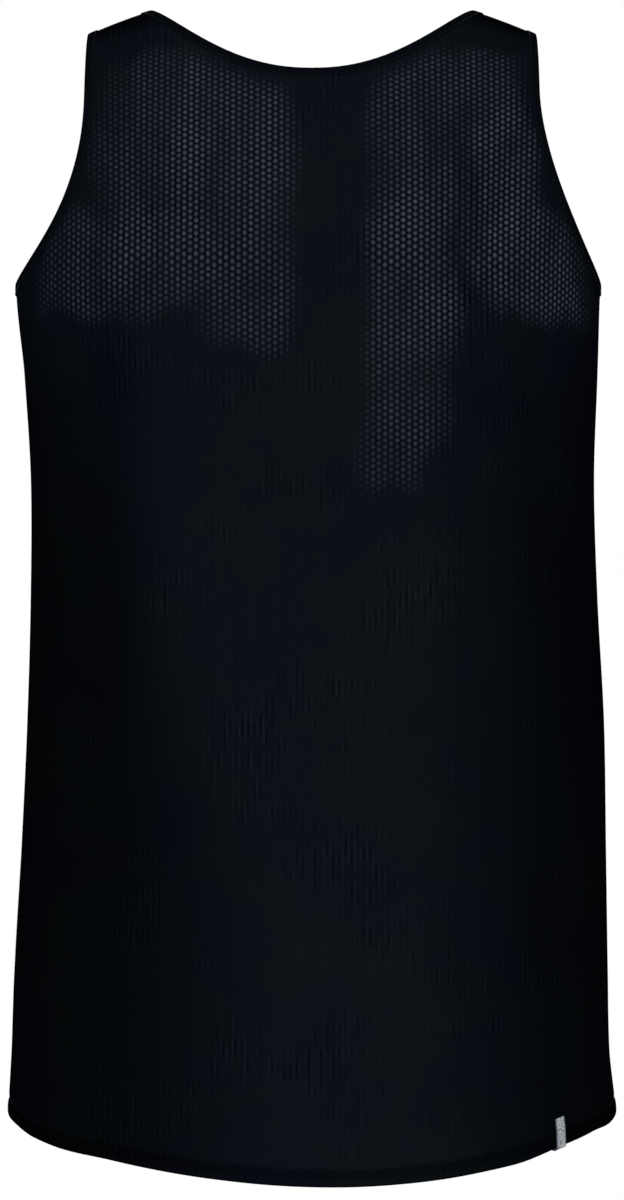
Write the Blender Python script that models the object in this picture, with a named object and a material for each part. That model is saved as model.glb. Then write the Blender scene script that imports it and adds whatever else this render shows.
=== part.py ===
"""Sleeveless sports shirt: a loose running singlet in honeycomb mesh, open and hollow as it is worn.

Metres, +Z up. The origin lies midway between the two shoulder points beside the neck, where the
wearer's shoulders carry the shirt. The wearer faces +Y, so the back panel faces -Y, and the wearer's
left is at -X. Every piece is laid on one form: a rounded tube whose top closes over the shoulders as
a quarter ellipse. A place on the form is an angle round the tube, 0 at the middle of a panel and a
quarter turn at the side seam, and a run of cloth measured down from the shoulder ridge.
"""

import math
from collections import namedtuple

import bmesh
import bpy
from mathutils import Vector

# ---- cloth and seams
WALL = 0.0012  # mesh knit, one layer
HEM_WALL = 0.0020  # mesh knit where the hem is turned up
BAND_WALL = 0.0020  # folded strip round the neck and the armholes
SEAM_GAP = 0.0003
BAND_WIDTH = 0.0065
BAND_ROUNDING = 0.0005  # how much thinner a band is at its folded edge, on each face
HEM_DEPTH = 0.0100
HEM_STEP = 0.0010  # run over which the wall thickens to the turned hem

# ---- shoulders and openings
TOP_HALF = 0.1760  # half width of the form at shoulder height
NECK_HALF = 0.0970  # middle of the neck to the shoulder point beside it
SHOULDER_HALF = 0.1340  # middle of the neck to the tip of the shoulder
SHOULDER_FALL = 0.0140  # how far the tip lies below the shoulder point
DOME_HEIGHT = 0.1600  # height of the quarter ellipse over the shoulders
DOME_RUN = 0.2100  # run of cloth over that quarter ellipse
RIDGE_RUN = 0.2000  # run over which the slope of the shoulders fades out
UNDERARM_Z = -0.1650  # finished edge of the armhole at the side seam
ROUNDNESS = 2.4  # 2 is an ellipse, and more is squarer

# ---- hem
HEM_SIDE_Z = -0.6590
VENT_TOP_Z = -0.6220
HEM_FALL_POWER = 2.05  # more draws the fall of the hem toward the middle
HEM_WAVES = 2.6
HEM_RISE_START = 0.64  # the hem's lift near a side seam, as shares of the half width
HEM_RISE_SPAN = 0.18
HEM_RISE_END = 0.975
HEM_RISE_FADE = 0.07

# ---- label folded over the hem
LABEL_ANGLE = math.radians(48.3)
LABEL_HALF_WIDTH = 0.0033
LABEL_LEG = 0.0170
LABEL_WALL = 0.0008
LABEL_GAP_OUTSIDE = 0.0003
LABEL_GAP_INSIDE = 0.0008

# ---- how finely the cloth is divided
NECK_ROWS = 5  # down the neckline's upright part on each side
NECK_COLUMNS = 12  # along its lower curve
STRAP_COLUMNS = 4
STRAP_ROWS = 10  # down the armhole's upright part
SIDE_COLUMNS = 6  # along the armhole's sweep out to the side seam
BODY_ROWS = 14
SEAM_HUG = 8  # how near the side seam the columns must be to follow it
CURVE_SAMPLES = 160
INSET_STEPS = 4  # short moves that carry an edge across the cloth
STEP = 0.0005  # for slopes of the form, metres of run or radians
SHARP_ANGLE = math.radians(40)

QUARTER = math.pi / 2

# Half widths of the tube to the wearer's left and right, and its depths behind and before the
# shoulder ridge, a row for each height.
Section = namedtuple("Section", "z left right back front")
SECTIONS = (
    Section(0.060, 0.1760, 0.1760, 0.1100, 0.1060),
    Section(-0.040, 0.1760, 0.1760, 0.1120, 0.1060),
    Section(-0.110, 0.1765, 0.1755, 0.1140, 0.1120),
    Section(-0.170, 0.1770, 0.1725, 0.1150, 0.1200),
    Section(-0.215, 0.1725, 0.1710, 0.1130, 0.1240),
    Section(-0.280, 0.1685, 0.1690, 0.1080, 0.1220),
    Section(-0.350, 0.1685, 0.1710, 0.1060, 0.1180),
    Section(-0.425, 0.1705, 0.1750, 0.1080, 0.1170),
    Section(-0.500, 0.1740, 0.1760, 0.1130, 0.1190),
    Section(-0.570, 0.1780, 0.1770, 0.1180, 0.1220),
    Section(-0.622, 0.1798, 0.1780, 0.1215, 0.1240),
    Section(-0.660, 0.1820, 0.1822, 0.1240, 0.1255),
    Section(-0.720, 0.1840, 0.1840, 0.1270, 0.1275),
)

# The two sides of the shirt: which way a panel faces, its neckline, its hem, how far the hem lifts
# short of each side seam, and its vents.
Side = namedtuple(
    "Side",
    "facing depth neck_drop neck_round neck_flare hem_fall hem_wave rise_left rise_right "
    "vent_left vent_right",
)
BACK = Side(-1, "back", 0.0420, 2.2, 1.22, 0.0315, 0.0017, -0.0014, 0.0023, 0.0015, 0.0030)
FRONT = Side(1, "front", 0.1000, 2.4, 0.8, 0.0150, 0.0012, 0.0, 0.0, 0.0015, 0.0020)

# Each armhole, by the hand it is on: the share of its height over which it sweeps out to the side
# seam, and how it curves on the way.
Armhole = namedtuple("Armhole", "hand flare bend")
LEFT = Armhole(-1, 0.72, 2.25)
RIGHT = Armhole(1, 0.74, 1.8)

# Largest folds: soft troughs that hang from under the arms. x is toward the wearer's right.
Fold = namedtuple("Fold", "side x_top x_bottom z_top z_bottom half_width depth")
FOLDS = (
    Fold(BACK, -0.122, -0.130, -0.190, -0.560, 0.017, 0.0045),
    Fold(BACK, 0.128, 0.146, -0.185, -0.430, 0.014, 0.0040),
    Fold(BACK, 0.086, 0.114, -0.190, -0.400, 0.015, 0.0035),
    Fold(FRONT, -0.096, -0.118, -0.190, -0.470, 0.016, 0.0040),
    Fold(FRONT, 0.112, 0.131, -0.200, -0.520, 0.016, 0.0045),
    Fold(FRONT, 0.058, 0.074, -0.240, -0.420, 0.015, 0.0030),
)


# ---------------------------------------------------------------------------------- the form
def smoothstep(value):
    """0 up to 0, 1 from 1, and an even S between."""
    value = min(max(value, 0.0), 1.0)
    return value * value * (3 - 2 * value)


def section_value(z, column):
    """One column of SECTIONS at a height, on a Catmull-Rom curve through its rows."""
    last = len(SECTIONS) - 2
    row = next((i for i in range(last) if SECTIONS[i + 1].z <= z), last)
    upper, lower = SECTIONS[row], SECTIONS[row + 1]
    share = min(max((upper.z - z) / (upper.z - lower.z), 0.0), 1.0)
    values = [getattr(SECTIONS[min(max(i, 0), last + 1)], column) for i in range(row - 1, row + 3)]
    before, start, end, after = values
    cubic = 3 * (start - end) + after - before
    square = 2 * before - 5 * start + 4 * end - after
    return start + share * (end - before + share * (square + share * cubic)) / 2


def round_share(angle):
    """How far across, and how far out, the unit section lies at an angle."""
    across, out = math.sin(angle), math.cos(angle)
    reach = (abs(across) ** ROUNDNESS + abs(out) ** ROUNDNESS) ** (-1 / ROUNDNESS)
    return across * reach, out * reach


def angle_of(share):
    """The angle at which the unit section lies this far across."""
    power = min(abs(share), 1.0) ** ROUNDNESS
    return math.copysign(math.atan2(power ** (1 / ROUNDNESS), (1 - power) ** (1 / ROUNDNESS)), share)


NECK_SHARE = NECK_HALF / TOP_HALF
TIP_SHARE = SHOULDER_HALF / TOP_HALF


def height(share, run):
    """Height of the form a run of cloth below the ridge, at a share of its half width."""
    run = abs(run)
    ridge = SHOULDER_FALL * (NECK_SHARE**2 - share**2) / (TIP_SHARE**2 - NECK_SHARE**2)
    if run < DOME_RUN:
        drop = DOME_HEIGHT * (1 - math.cos(QUARTER * run / DOME_RUN))
    else:
        drop = DOME_HEIGHT + run - DOME_RUN
    return ridge * (1 - smoothstep(run / RIDGE_RUN)) - drop


def run_at(share, z):
    """The run of cloth from the ridge down to a height."""
    low, high = 0.0, 1.0
    for _ in range(48):
        middle = (low + high) / 2
        if height(share, middle) > z:
            low = middle
        else:
            high = middle
    return (low + high) / 2


def form(side, angle, run):
    """A point of the smooth form; a run below 0 or an angle past the seam lies on the other side."""
    share, out = round_share(angle)
    facing = side.facing * math.copysign(1.0, run) * math.copysign(1.0, out)
    z = height(share, run)
    left, right = section_value(z, "left"), section_value(z, "right")
    lean = math.sin(QUARTER * min(abs(run) / DOME_RUN, 1.0))
    depth = section_value(z, "back" if facing < 0 else "front")
    x = (left + right) / 2 * share + (right - left) / 2 * share**2
    return Vector((x, facing * depth * lean * abs(out), z))


def slopes(side, angle, run):
    """How the form runs with the angle and with the run of cloth."""
    by_angle = (form(side, angle + STEP, run) - form(side, angle - STEP, run)) / (2 * STEP)
    by_run = (form(side, angle, run + STEP) - form(side, angle, run - STEP)) / (2 * STEP)
    return by_angle, by_run


def outward(side, angle, run):
    """Unit normal of the form, pointing out of the shirt."""
    by_angle, by_run = slopes(side, angle, run)
    return by_angle.cross(by_run).normalized() * side.facing


def fold_depth(side, point):
    """How far the folds push the cloth in at a point."""
    depth = 0.0
    for fold in FOLDS:
        if fold.side is not side:
            continue
        along = (fold.z_top - point.z) / (fold.z_top - fold.z_bottom)
        if 0 < along < 1:
            middle = fold.x_top + (fold.x_bottom - fold.x_top) * along
            fade = smoothstep(3 * along) * smoothstep(2 * (1 - along))
            depth += fold.depth * fade * math.exp(-(((point.x - middle) / fold.half_width) ** 2))
    return depth


def cloth(side, angle, run, inward=0.0):
    """A point of the cloth with its folds, moved in from the outer face."""
    point = form(side, angle, run)
    return point - outward(side, angle, run) * (inward + fold_depth(side, point))


# ---------------------------------------------------------------------------- edges of the cut
def neckline(side, share):
    """Angle and run on the finished neckline, for -1 to 1 from the wearer's left to right."""
    across = math.sin(QUARTER * share)
    z = -side.neck_drop * (1 - abs(across) ** side.neck_round) ** side.neck_flare
    return angle_of(NECK_SHARE * across), run_at(NECK_SHARE * across, z)


def armhole_edge(armhole, share):
    """Angle and run on a finished armhole, for 0 to 1 from the shoulder tip to under the arm."""
    rise = 1 - share
    across = TIP_SHARE + (1 - TIP_SHARE) * max(1 - rise / armhole.flare, 0) ** armhole.bend
    z = UNDERARM_Z - (UNDERARM_Z + SHOULDER_FALL) * rise
    return armhole.hand * angle_of(across), run_at(across, z)


def even_places(side, edge, start, end, count):
    """Places on an edge, evenly spaced along the cloth."""
    shares = [start + (end - start) * i / CURVE_SAMPLES for i in range(CURVE_SAMPLES + 1)]
    places = [edge(share) for share in shares]
    points = [form(side, *place) for place in places]
    lengths = [0.0]
    for before, after in zip(points, points[1:]):
        lengths.append(lengths[-1] + (after - before).length)
    even = []
    for i in range(count + 1):
        wanted = lengths[-1] * i / count
        after = next((n for n, length in enumerate(lengths) if length >= wanted - 1e-9), CURVE_SAMPLES)
        before = max(after - 1, 0)
        span = lengths[after] - lengths[before]
        part = (wanted - lengths[before]) / span if span else 0.0
        even.append(edge(shares[before] + (shares[after] - shares[before]) * part))
    return even


def inset(side, places, distance, start_along, end_along):
    """Places moved across the cloth from an edge; the ends keep the direction given for them."""
    moved = []
    for i, (angle, run) in enumerate(places):
        if i == 0:
            along = start_along
        elif i == len(places) - 1:
            along = end_along
        else:
            along = form(side, *places[i + 1]) - form(side, *places[i - 1])
        across = along.cross(outward(side, angle, run)).normalized() * (distance / INSET_STEPS)
        for _ in range(INSET_STEPS):
            by_angle, by_run = slopes(side, angle, run)
            a, b, c = by_angle.dot(by_angle), by_angle.dot(by_run), by_run.dot(by_run)
            p, q = across.dot(by_angle), across.dot(by_run)
            angle += (p * c - q * b) / (a * c - b * b)
            run += (q * a - p * b) / (a * c - b * b)
        moved.append((angle, run))
    return moved


FORE_AND_AFT = Vector((0, 1, 0))


def neck_places(side, distance):
    """Places round one side of the neck, from the wearer's left to right, this far into the cloth."""
    count = NECK_COLUMNS + 2 * NECK_ROWS
    places = even_places(side, lambda share: neckline(side, share), -1, 1, count)
    turn = FORE_AND_AFT * side.facing
    return inset(side, places, -distance * side.facing, turn, -turn)


def armhole_places(side, armhole, distance):
    """Places down one side of an armhole, from the shoulder to under the arm, this far into the cloth."""
    count = STRAP_ROWS + SIDE_COLUMNS
    places = even_places(side, lambda share: armhole_edge(armhole, share), 0, 1, count)
    turn = FORE_AND_AFT * side.facing
    return inset(side, places, -distance * side.facing * armhole.hand, turn, -turn)


def seam_angle(side, hand, z):
    """Angle of a panel's side edge: half a seam short of the quarter turn, and more at the vent."""
    vent = side.vent_left if hand < 0 else side.vent_right
    opened = vent * smoothstep((VENT_TOP_Z - z) / (VENT_TOP_Z - HEM_SIDE_Z))
    return hand * (QUARTER - (SEAM_GAP / 2 + opened) / section_value(z, side.depth))


def hem_run(side, angle):
    """Run of cloth to the hem's edge, which falls from the side seams to the middle, a little uneven."""
    out = abs(math.cos(angle))
    share = round_share(angle)[0]
    z = HEM_SIDE_Z - side.hem_fall * out**HEM_FALL_POWER - side.hem_wave * out * math.sin(HEM_WAVES * angle)
    rise = side.rise_left if share < 0 else side.rise_right
    rise *= smoothstep((abs(share) - HEM_RISE_START) / HEM_RISE_SPAN)
    return run_at(share, z + rise * smoothstep((HEM_RISE_END - abs(share)) / HEM_RISE_FADE))


# ------------------------------------------------------------------------------- making pieces
def material(name, colour, roughness):
    """A plain cloth material."""
    made = bpy.data.materials.new(name)
    made.use_nodes = True
    shader = made.node_tree.nodes["Principled BSDF"]
    shader.inputs["Base Color"].default_value = (*colour, 1)
    shader.inputs["Roughness"].default_value = roughness
    shader.inputs["Metallic"].default_value = 0
    return made


def everywhere(column, row):
    """A grid kept whole."""
    return True


def sheet(name, columns, rows, place, finish, kept=everywhere):
    """Cloth from a grid, whose columns and rows place(column, row) lays on the form: it gives the
    side, angle, run and depth of a point on the outer face, and the same for the inner face. Cells
    for whose middle kept(column, row) is false are cut away. The ends of a ring meet and are merged.
    """
    mesh = bpy.data.meshes.new(name)
    piece = bpy.data.objects.new(name, mesh)
    bpy.context.collection.objects.link(piece)
    bm = bmesh.new()
    bmesh.ops.create_grid(bm, x_segments=columns, y_segments=rows, size=1)
    middles = [(face, face.calc_center_median()) for face in bm.faces]
    cut = [face for face, m in middles if not kept((m.x + 1) / 2 * columns, (1 - m.y) / 2 * rows)]
    bmesh.ops.delete(bm, geom=cut, context="FACES")
    column_of, row_of = bm.verts.layers.int.new("column"), bm.verts.layers.int.new("row")
    for vert in bm.verts:
        vert[column_of] = round((vert.co.x + 1) / 2 * columns)
        vert[row_of] = round((1 - vert.co.y) / 2 * rows)
        vert.co = cloth(*place(vert[column_of], vert[row_of])[0])
    bmesh.ops.remove_doubles(bm, verts=bm.verts, dist=1e-6)
    grown = bmesh.ops.extrude_face_region(bm, geom=bm.faces, use_keep_orig=True)["geom"]
    for vert in grown:
        if isinstance(vert, bmesh.types.BMVert):
            vert.co = cloth(*place(vert[column_of], vert[row_of])[1])
    bmesh.ops.recalc_face_normals(bm, faces=bm.faces)
    bm.to_mesh(mesh)
    bm.free()
    mesh.materials.append(finish)
    mesh.shade_smooth()
    mesh.set_sharp_from_angle(angle=SHARP_ANGLE)
    return piece


def through(side, angle, run, outer, inner):
    """The outer and inner point of a wall that stands square to the form."""
    return (side, angle, run, outer), (side, angle, run, inner)


def between(first, last, share):
    """A place part of the way from one place to another."""
    return tuple(a + (b - a) * share for a, b in zip(first, last))


def panel(name, side, finish):
    """Front or back: cut with the straps, hollowed for neck and arms, with a turned hem.

    The straps' rows run from the neckline's upright part to the armhole. Below them the middle
    columns run from the neckline's lower curve, and the side columns from the armhole's sweep.
    """
    cut = BAND_WIDTH + SEAM_GAP
    neck = neck_places(side, cut)
    left, right = armhole_places(side, LEFT, cut), armhole_places(side, RIGHT, cut)
    neck_end = STRAP_COLUMNS + NECK_COLUMNS
    middle = neck_end + STRAP_COLUMNS
    columns = middle + 2 * SIDE_COLUMNS
    rows = STRAP_ROWS + BODY_ROWS + 2

    def strap(column, row):
        """Place on a strap, between the neckline and the armhole."""
        if column <= STRAP_COLUMNS:
            return between(left[row], neck[row], column / STRAP_COLUMNS)
        return between(neck[-1 - row], right[row], (column - neck_end) / STRAP_COLUMNS)

    def start_of(column):
        """Where a column of the body begins, level with the armholes' sweep."""
        if column < 0:
            return left[STRAP_ROWS - column]
        if column > middle:
            return right[STRAP_ROWS + column - middle]
        share = column / middle
        reach, run = between((-left[STRAP_ROWS][0], left[STRAP_ROWS][1]), right[STRAP_ROWS], share)
        return (2 * share - 1) * reach, run

    def upper(column, row):
        """Place above the armholes' sweep."""
        if row <= NECK_ROWS and not STRAP_COLUMNS < column < neck_end:
            return strap(column, row)
        if STRAP_COLUMNS < column < neck_end:
            top = neck[column + NECK_ROWS - STRAP_COLUMNS]
        else:
            top = strap(column, NECK_ROWS)
        down = (row - NECK_ROWS) / (STRAP_ROWS - NECK_ROWS)
        out = 2 * column / middle - 1
        edge = left if out < 0 else right
        straight = between(edge[NECK_ROWS], edge[STRAP_ROWS], down)
        angle, run = between(top, start_of(column), down)
        return angle + (edge[row][0] - straight[0]) * abs(out), run + (edge[row][1] - straight[1]) * abs(out)

    def place(column, row):
        column = (columns - column if side is FRONT else column) - SIDE_COLUMNS
        if row < STRAP_ROWS or (row == STRAP_ROWS and 0 <= column <= middle):
            angle, run = upper(column, row)
            if row == 0:
                run = SEAM_GAP / 2 / slopes(side, angle, 0.0)[1].length
            return through(side, angle, run, 0.0, WALL)
        angle, start = start_of(column)
        down = (row - STRAP_ROWS) / BODY_ROWS
        z = height(round_share(angle)[0], start) * (1 - down) + HEM_SIDE_Z * down
        seam = seam_angle(side, math.copysign(1, angle), z)
        angle -= math.copysign(QUARTER - abs(seam), angle) * abs(angle / QUARTER) ** SEAM_HUG
        edge = hem_run(side, angle)
        if row == rows:
            return through(side, angle, edge, 0.0, HEM_WALL)
        if row == rows - 1:
            return through(side, angle, edge - HEM_DEPTH, 0.0, HEM_WALL)
        run = start + (edge - HEM_DEPTH - HEM_STEP - start) * down
        return through(side, angle, run, 0.0, WALL)

    def kept(column, row):
        """Whether there is cloth here: none beside the straps, and none in the neck."""
        out = abs(column - columns / 2)
        top = STRAP_ROWS if out > middle / 2 else NECK_ROWS if out < NECK_COLUMNS / 2 else 0
        return row > top

    return sheet(name, columns, rows, place, finish, kept)


def band(name, rings, finish):
    """A folded strip round an opening, from rings of places: the finished edge first."""
    stations = len(rings[0]) - 1

    def place(column, row):
        crown = 0.0 if row else BAND_ROUNDING
        outer = (WALL - BAND_WALL) / 2 + crown
        return through(*rings[row][column], outer, outer + BAND_WALL - 2 * crown)

    return sheet(name, stations, len(rings) - 1, place, finish)


def neck_band(finish):
    """The ring round the neck: across the back, over the shoulder and back across the front."""
    rings = []
    for distance in (0.0, BAND_WIDTH / 2, BAND_WIDTH):
        back = [(BACK, *place) for place in neck_places(BACK, distance)]
        front = [(FRONT, *place) for place in reversed(neck_places(FRONT, distance))]
        rings.append(back[:-1] + front[:-1] + back[:1])
    return band("neck_band", rings, finish)


def armhole_band(name, armhole, finish):
    """The ring round an armhole: down the back, under the arm and up the front."""
    rings = []
    for distance in (0.0, BAND_WIDTH / 2, BAND_WIDTH):
        back = [(BACK, *place) for place in armhole_places(BACK, armhole, distance)]
        front = [(FRONT, *place) for place in reversed(armhole_places(FRONT, armhole, distance))]
        rings.append(back[:-1] + front[:-1] + back[:1])
    if armhole.hand < 0:
        rings.reverse()
    return band(name, rings, finish)


def hem_label(finish):
    """A short ribbon folded round the hem's edge, one leg outside the cloth and one inside."""
    leg_rows, fold_rows, columns = 3, 4, 2
    rows = 2 * leg_rows + fold_rows
    reach = (HEM_WALL + LABEL_GAP_OUTSIDE + LABEL_GAP_INSIDE) / 2
    middle = reach - LABEL_GAP_OUTSIDE
    per_angle = slopes(BACK, LABEL_ANGLE, hem_run(BACK, LABEL_ANGLE))[0].length

    def place(column, row):
        angle = LABEL_ANGLE + (2 * column / columns - 1) * LABEL_HALF_WIDTH / per_angle
        edge = hem_run(BACK, angle)
        if row <= leg_rows:
            run = edge - LABEL_LEG * (1 - row / leg_rows)
            return through(BACK, angle, run, middle - reach - LABEL_WALL, middle - reach)
        if row >= leg_rows + fold_rows:
            run = edge - LABEL_LEG * (row - leg_rows - fold_rows) / leg_rows
            return through(BACK, angle, run, middle + reach + LABEL_WALL, middle + reach)
        turn = math.pi * (row - leg_rows) / fold_rows
        return tuple(
            (BACK, angle, edge + radius * math.sin(turn), middle - radius * math.cos(turn))
            for radius in (reach + LABEL_WALL, reach)
        )

    return sheet("hem_label", columns, rows, place, finish)


def main():
    """Clear the scene and make every piece."""
    for old in list(bpy.data.objects):
        bpy.data.objects.remove(old, do_unlink=True)
    mesh_knit = material("black mesh knit", (0.004, 0.005, 0.007), 0.75)
    band_knit = material("black band knit", (0.003, 0.004, 0.006), 0.85)
    ribbon = material("grey woven ribbon", (0.27, 0.28, 0.31), 0.55)
    panel("back_panel", BACK, mesh_knit)
    panel("front_panel", FRONT, mesh_knit)
    neck_band(band_knit)
    armhole_band("armhole_band_left", LEFT, band_knit)
    armhole_band("armhole_band_right", RIGHT, band_knit)
    hem_label(ribbon)


main()
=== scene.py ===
"""Sleeveless sports shirt: a loose running singlet in black honeycomb mesh, hollow as it is worn.

Metres, +Z up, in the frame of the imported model. The wearer faces +Y, so the back faces -Y. Each piece
of cloth is laid on one form, a rounded tube that closes over the shoulders. A place on the form is an
angle round the tube, 0 at the middle of a panel and a quarter turn at the side seam, and a run of
cloth measured down from the shoulder ridge.
"""

import logging
import math
from dataclasses import dataclass, field, replace
from enum import Enum
from functools import partial
from typing import Any, Callable, Mapping, Optional, Sequence

import bmesh
import bpy
from mathutils import Matrix, Vector

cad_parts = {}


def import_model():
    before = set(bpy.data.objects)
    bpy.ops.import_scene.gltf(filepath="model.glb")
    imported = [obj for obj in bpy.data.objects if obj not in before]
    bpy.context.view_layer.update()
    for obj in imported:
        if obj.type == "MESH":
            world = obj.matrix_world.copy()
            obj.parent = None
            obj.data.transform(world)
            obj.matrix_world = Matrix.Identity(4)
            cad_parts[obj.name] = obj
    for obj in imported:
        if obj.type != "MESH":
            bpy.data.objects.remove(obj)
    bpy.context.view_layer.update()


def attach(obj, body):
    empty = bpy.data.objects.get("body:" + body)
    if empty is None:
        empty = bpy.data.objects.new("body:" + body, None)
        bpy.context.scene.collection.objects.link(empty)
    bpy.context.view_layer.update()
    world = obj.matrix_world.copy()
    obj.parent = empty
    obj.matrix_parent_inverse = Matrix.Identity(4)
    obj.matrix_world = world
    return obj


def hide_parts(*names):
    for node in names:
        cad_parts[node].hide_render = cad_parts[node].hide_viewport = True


LOG = logging.getLogger("shirt")

QUARTER = math.pi / 2
MM = 1000  # in a metre
FORE_AND_AFT = Vector((0.0, 1.0, 0.0))
FLAT = "cloth_mm"  # attribute: place in the flat cloth, in millimetres
PAINTED_GLINT = "painted_glint"  # attribute: how much painted light the cloth's eyelets show, a painted highlight
PAINTED_SHADING = "tone"  # attribute: painted shade on the cloth's black, 1 where none darkens it
WELD = 1e-6  # corners nearer than this are one
NEARLY = 0.9999  # the furthest that a table is read, as a share of it
WHITE = (1.0, 1.0, 1.0, 1.0)

Place = tuple[float, float]
Span = tuple[float, float]  # where a change starts and where it is full
Grain = tuple[float, float, float]  # a noise's scale, detail and roughness
Colour = tuple[float, float, float, float]
Line = list[tuple[Vector, Vector]]  # points, each with the way out of the cloth
Object, Material = bpy.types.Object, bpy.types.Material
Mesh, Socket = bmesh.types.BMesh, bpy.types.NodeSocket


# ------------------------------------------------------------------------------------- small tools
def linear(code: str) -> Colour:
    """Turn a colour written as sRGB hex into the linear values that shaders take.

    Args:
        code: the colour, such as "#0B0F14".

    Returns:
        Red, green, blue and an alpha of 1.
    """
    parts = [int(code[i : i + 2], 16) / 255 for i in (1, 3, 5)]
    red, green, blue = (p / 12.92 if p <= 0.04045 else ((p + 0.055) / 1.055) ** 2.4 for p in parts)
    return red, green, blue, 1.0


def add_node(
    tree: bpy.types.NodeTree, kind: str, inputs: Optional[Mapping[Any, Any]] = None, **settings: Any
) -> bpy.types.Node:
    """Add one node with its settings, values and links.

    Args:
        tree: the node tree that gets it.
        kind: the node's type.
        inputs: a value for each input socket, or the output socket linked to it.
        settings: the node's own options.

    Returns:
        The new node.
    """
    made = tree.nodes.new(kind)
    for key, value in settings.items():
        setattr(made, key, value)
    for key, value in (inputs or {}).items():
        if isinstance(value, Socket):
            tree.links.new(value, made.inputs[key])
        else:
            made.inputs[key].default_value = value
    return made


def ramp(value: float, start: float, end: float) -> float:
    """0 up to the start, 1 from the end, and an even S between; the end may be the lower one."""
    share = min(max((value - start) / (end - start), 0.0), 1.0)
    return share * share * (3 - 2 * share)


def between(first: Place, last: Place, share: float) -> Place:
    """A place part of the way from one place to another."""
    return first[0] + (last[0] - first[0]) * share, first[1] + (last[1] - first[1]) * share


def in_table(table: Sequence[Sequence[float]], row: float, column: float) -> float:
    """Read a table of numbers between its rows and its columns."""
    r, c = int(row), int(column)
    low, high = (line[c] + (line[c + 1] - line[c]) * (column - c) for line in (table[r], table[r + 1]))
    return low + (high - low) * (row - r)


def add_object(name: str, data: Any) -> Object:
    """Put a new object into the scene."""
    made = bpy.data.objects.new(name, data)
    bpy.context.collection.objects.link(made)
    return made


def add_mesh(bm: Mesh, name: str, material: Material) -> Object:
    """Turn a bmesh, which is freed, into an object with one material."""
    mesh = bpy.data.meshes.new(name)
    bm.to_mesh(mesh)
    bm.free()
    mesh.materials.append(material)
    return add_object(name, mesh)


# ------------------------------------------------------------------------------------------ the form
class Facing(Enum):
    """The way that a side of the shirt faces, along Y."""

    BACK = -1
    FRONT = 1


class Hand(Enum):
    """The wearer's left and right, along X."""

    LEFT = -1
    RIGHT = 1


@dataclass(frozen=True)
class Section:
    """The tube at one height: half widths to each hand, and depths behind and before the ridge."""

    z: float
    left: float
    right: float
    back: float
    front: float


@dataclass(frozen=True)
class Side:
    """One side of the shirt: its neckline, its hem and the lift short of each seam, and its vents."""

    facing: Facing
    neck_drop: float
    neck_round: float
    neck_flare: float
    hem_fall: float
    hem_wave: float
    rise_left: float
    rise_right: float
    vent_left: float
    vent_right: float

    @property
    def depth(self) -> str:
        """The column of SECTIONS that holds this side's depth."""
        return self.facing.name.lower()

    def neck_z(self, across: float) -> float:
        """Height of the neckline, at a share of its half width."""
        return -self.neck_drop * (1 - across**self.neck_round) ** self.neck_flare


@dataclass(frozen=True)
class Armhole:
    """An armhole: where it sweeps out to the side seam, and how it curves on the way."""

    hand: Hand
    flare: float
    bend: float


@dataclass(frozen=True)
class Crease:
    """A soft trough in the cloth, or a ridge where its depth is below 0."""

    x_top: float
    x_bottom: float
    z_top: float
    z_bottom: float
    half_width: float
    depth: float
    sway: float = 0.0
    start: float = 1 / 3  # shares of its length over which it starts and runs out
    end: float = 1 / 2

    def depth_at(self, point: Vector) -> float:
        """How far it pushes the cloth in at a point."""
        along = (self.z_top - point.z) / (self.z_top - self.z_bottom)
        if not 0 < along < 1:
            return 0.0
        middle = self.x_top + (self.x_bottom - self.x_top) * along + self.sway * math.sin(math.pi * along)
        fade = ramp(along, 0.0, self.start) * ramp(along, 1.0, 1 - self.end)
        return self.depth * fade * math.exp(-(((point.x - middle) / self.half_width) ** 2))


@dataclass(frozen=True)
class Patch:
    """A soft-edged patch of cloth whose eyelets are painted with more light, or in SHADES with painted shade
    that takes it away.
    """

    POWER = 3  # how square it is, and how those that meet are added

    x: float
    z: float
    half_x: float
    half_z: float
    strength: float
    edge: Span = (1.32, 0.77)  # in half sizes from its middle

    def at(self, x: float, z: float) -> float:
        """Its strength at a place."""
        shares = (abs((x - self.x) / self.half_x), abs((z - self.z) / self.half_z))
        return self.strength * ramp(sum(s**self.POWER for s in shares) ** (1 / self.POWER), *self.edge)


@dataclass(frozen=True)
class Wave:
    """A sine over one side of the shirt."""

    height: float
    by_x: float
    by_z: float
    phase: float = 0.0

    def at(self, x: float, z: float, turn: float = 1.0) -> float:
        """Its height at a place, with its phase turned by a factor."""
        return self.height * math.sin(self.by_x * x + self.by_z * z + self.phase * turn)


BACK = Side(Facing.BACK, 0.0420, 2.2, 1.22, 0.0315, 0.0017, -0.0014, 0.0023, 0.0015, 0.0030)
FRONT = Side(Facing.FRONT, 0.1000, 2.4, 0.8, 0.0150, 0.0012, 0.0, 0.0, 0.0015, 0.0020)
ARMHOLES = (Armhole(Hand.LEFT, 0.72, 2.25), Armhole(Hand.RIGHT, 0.74, 1.8))

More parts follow.
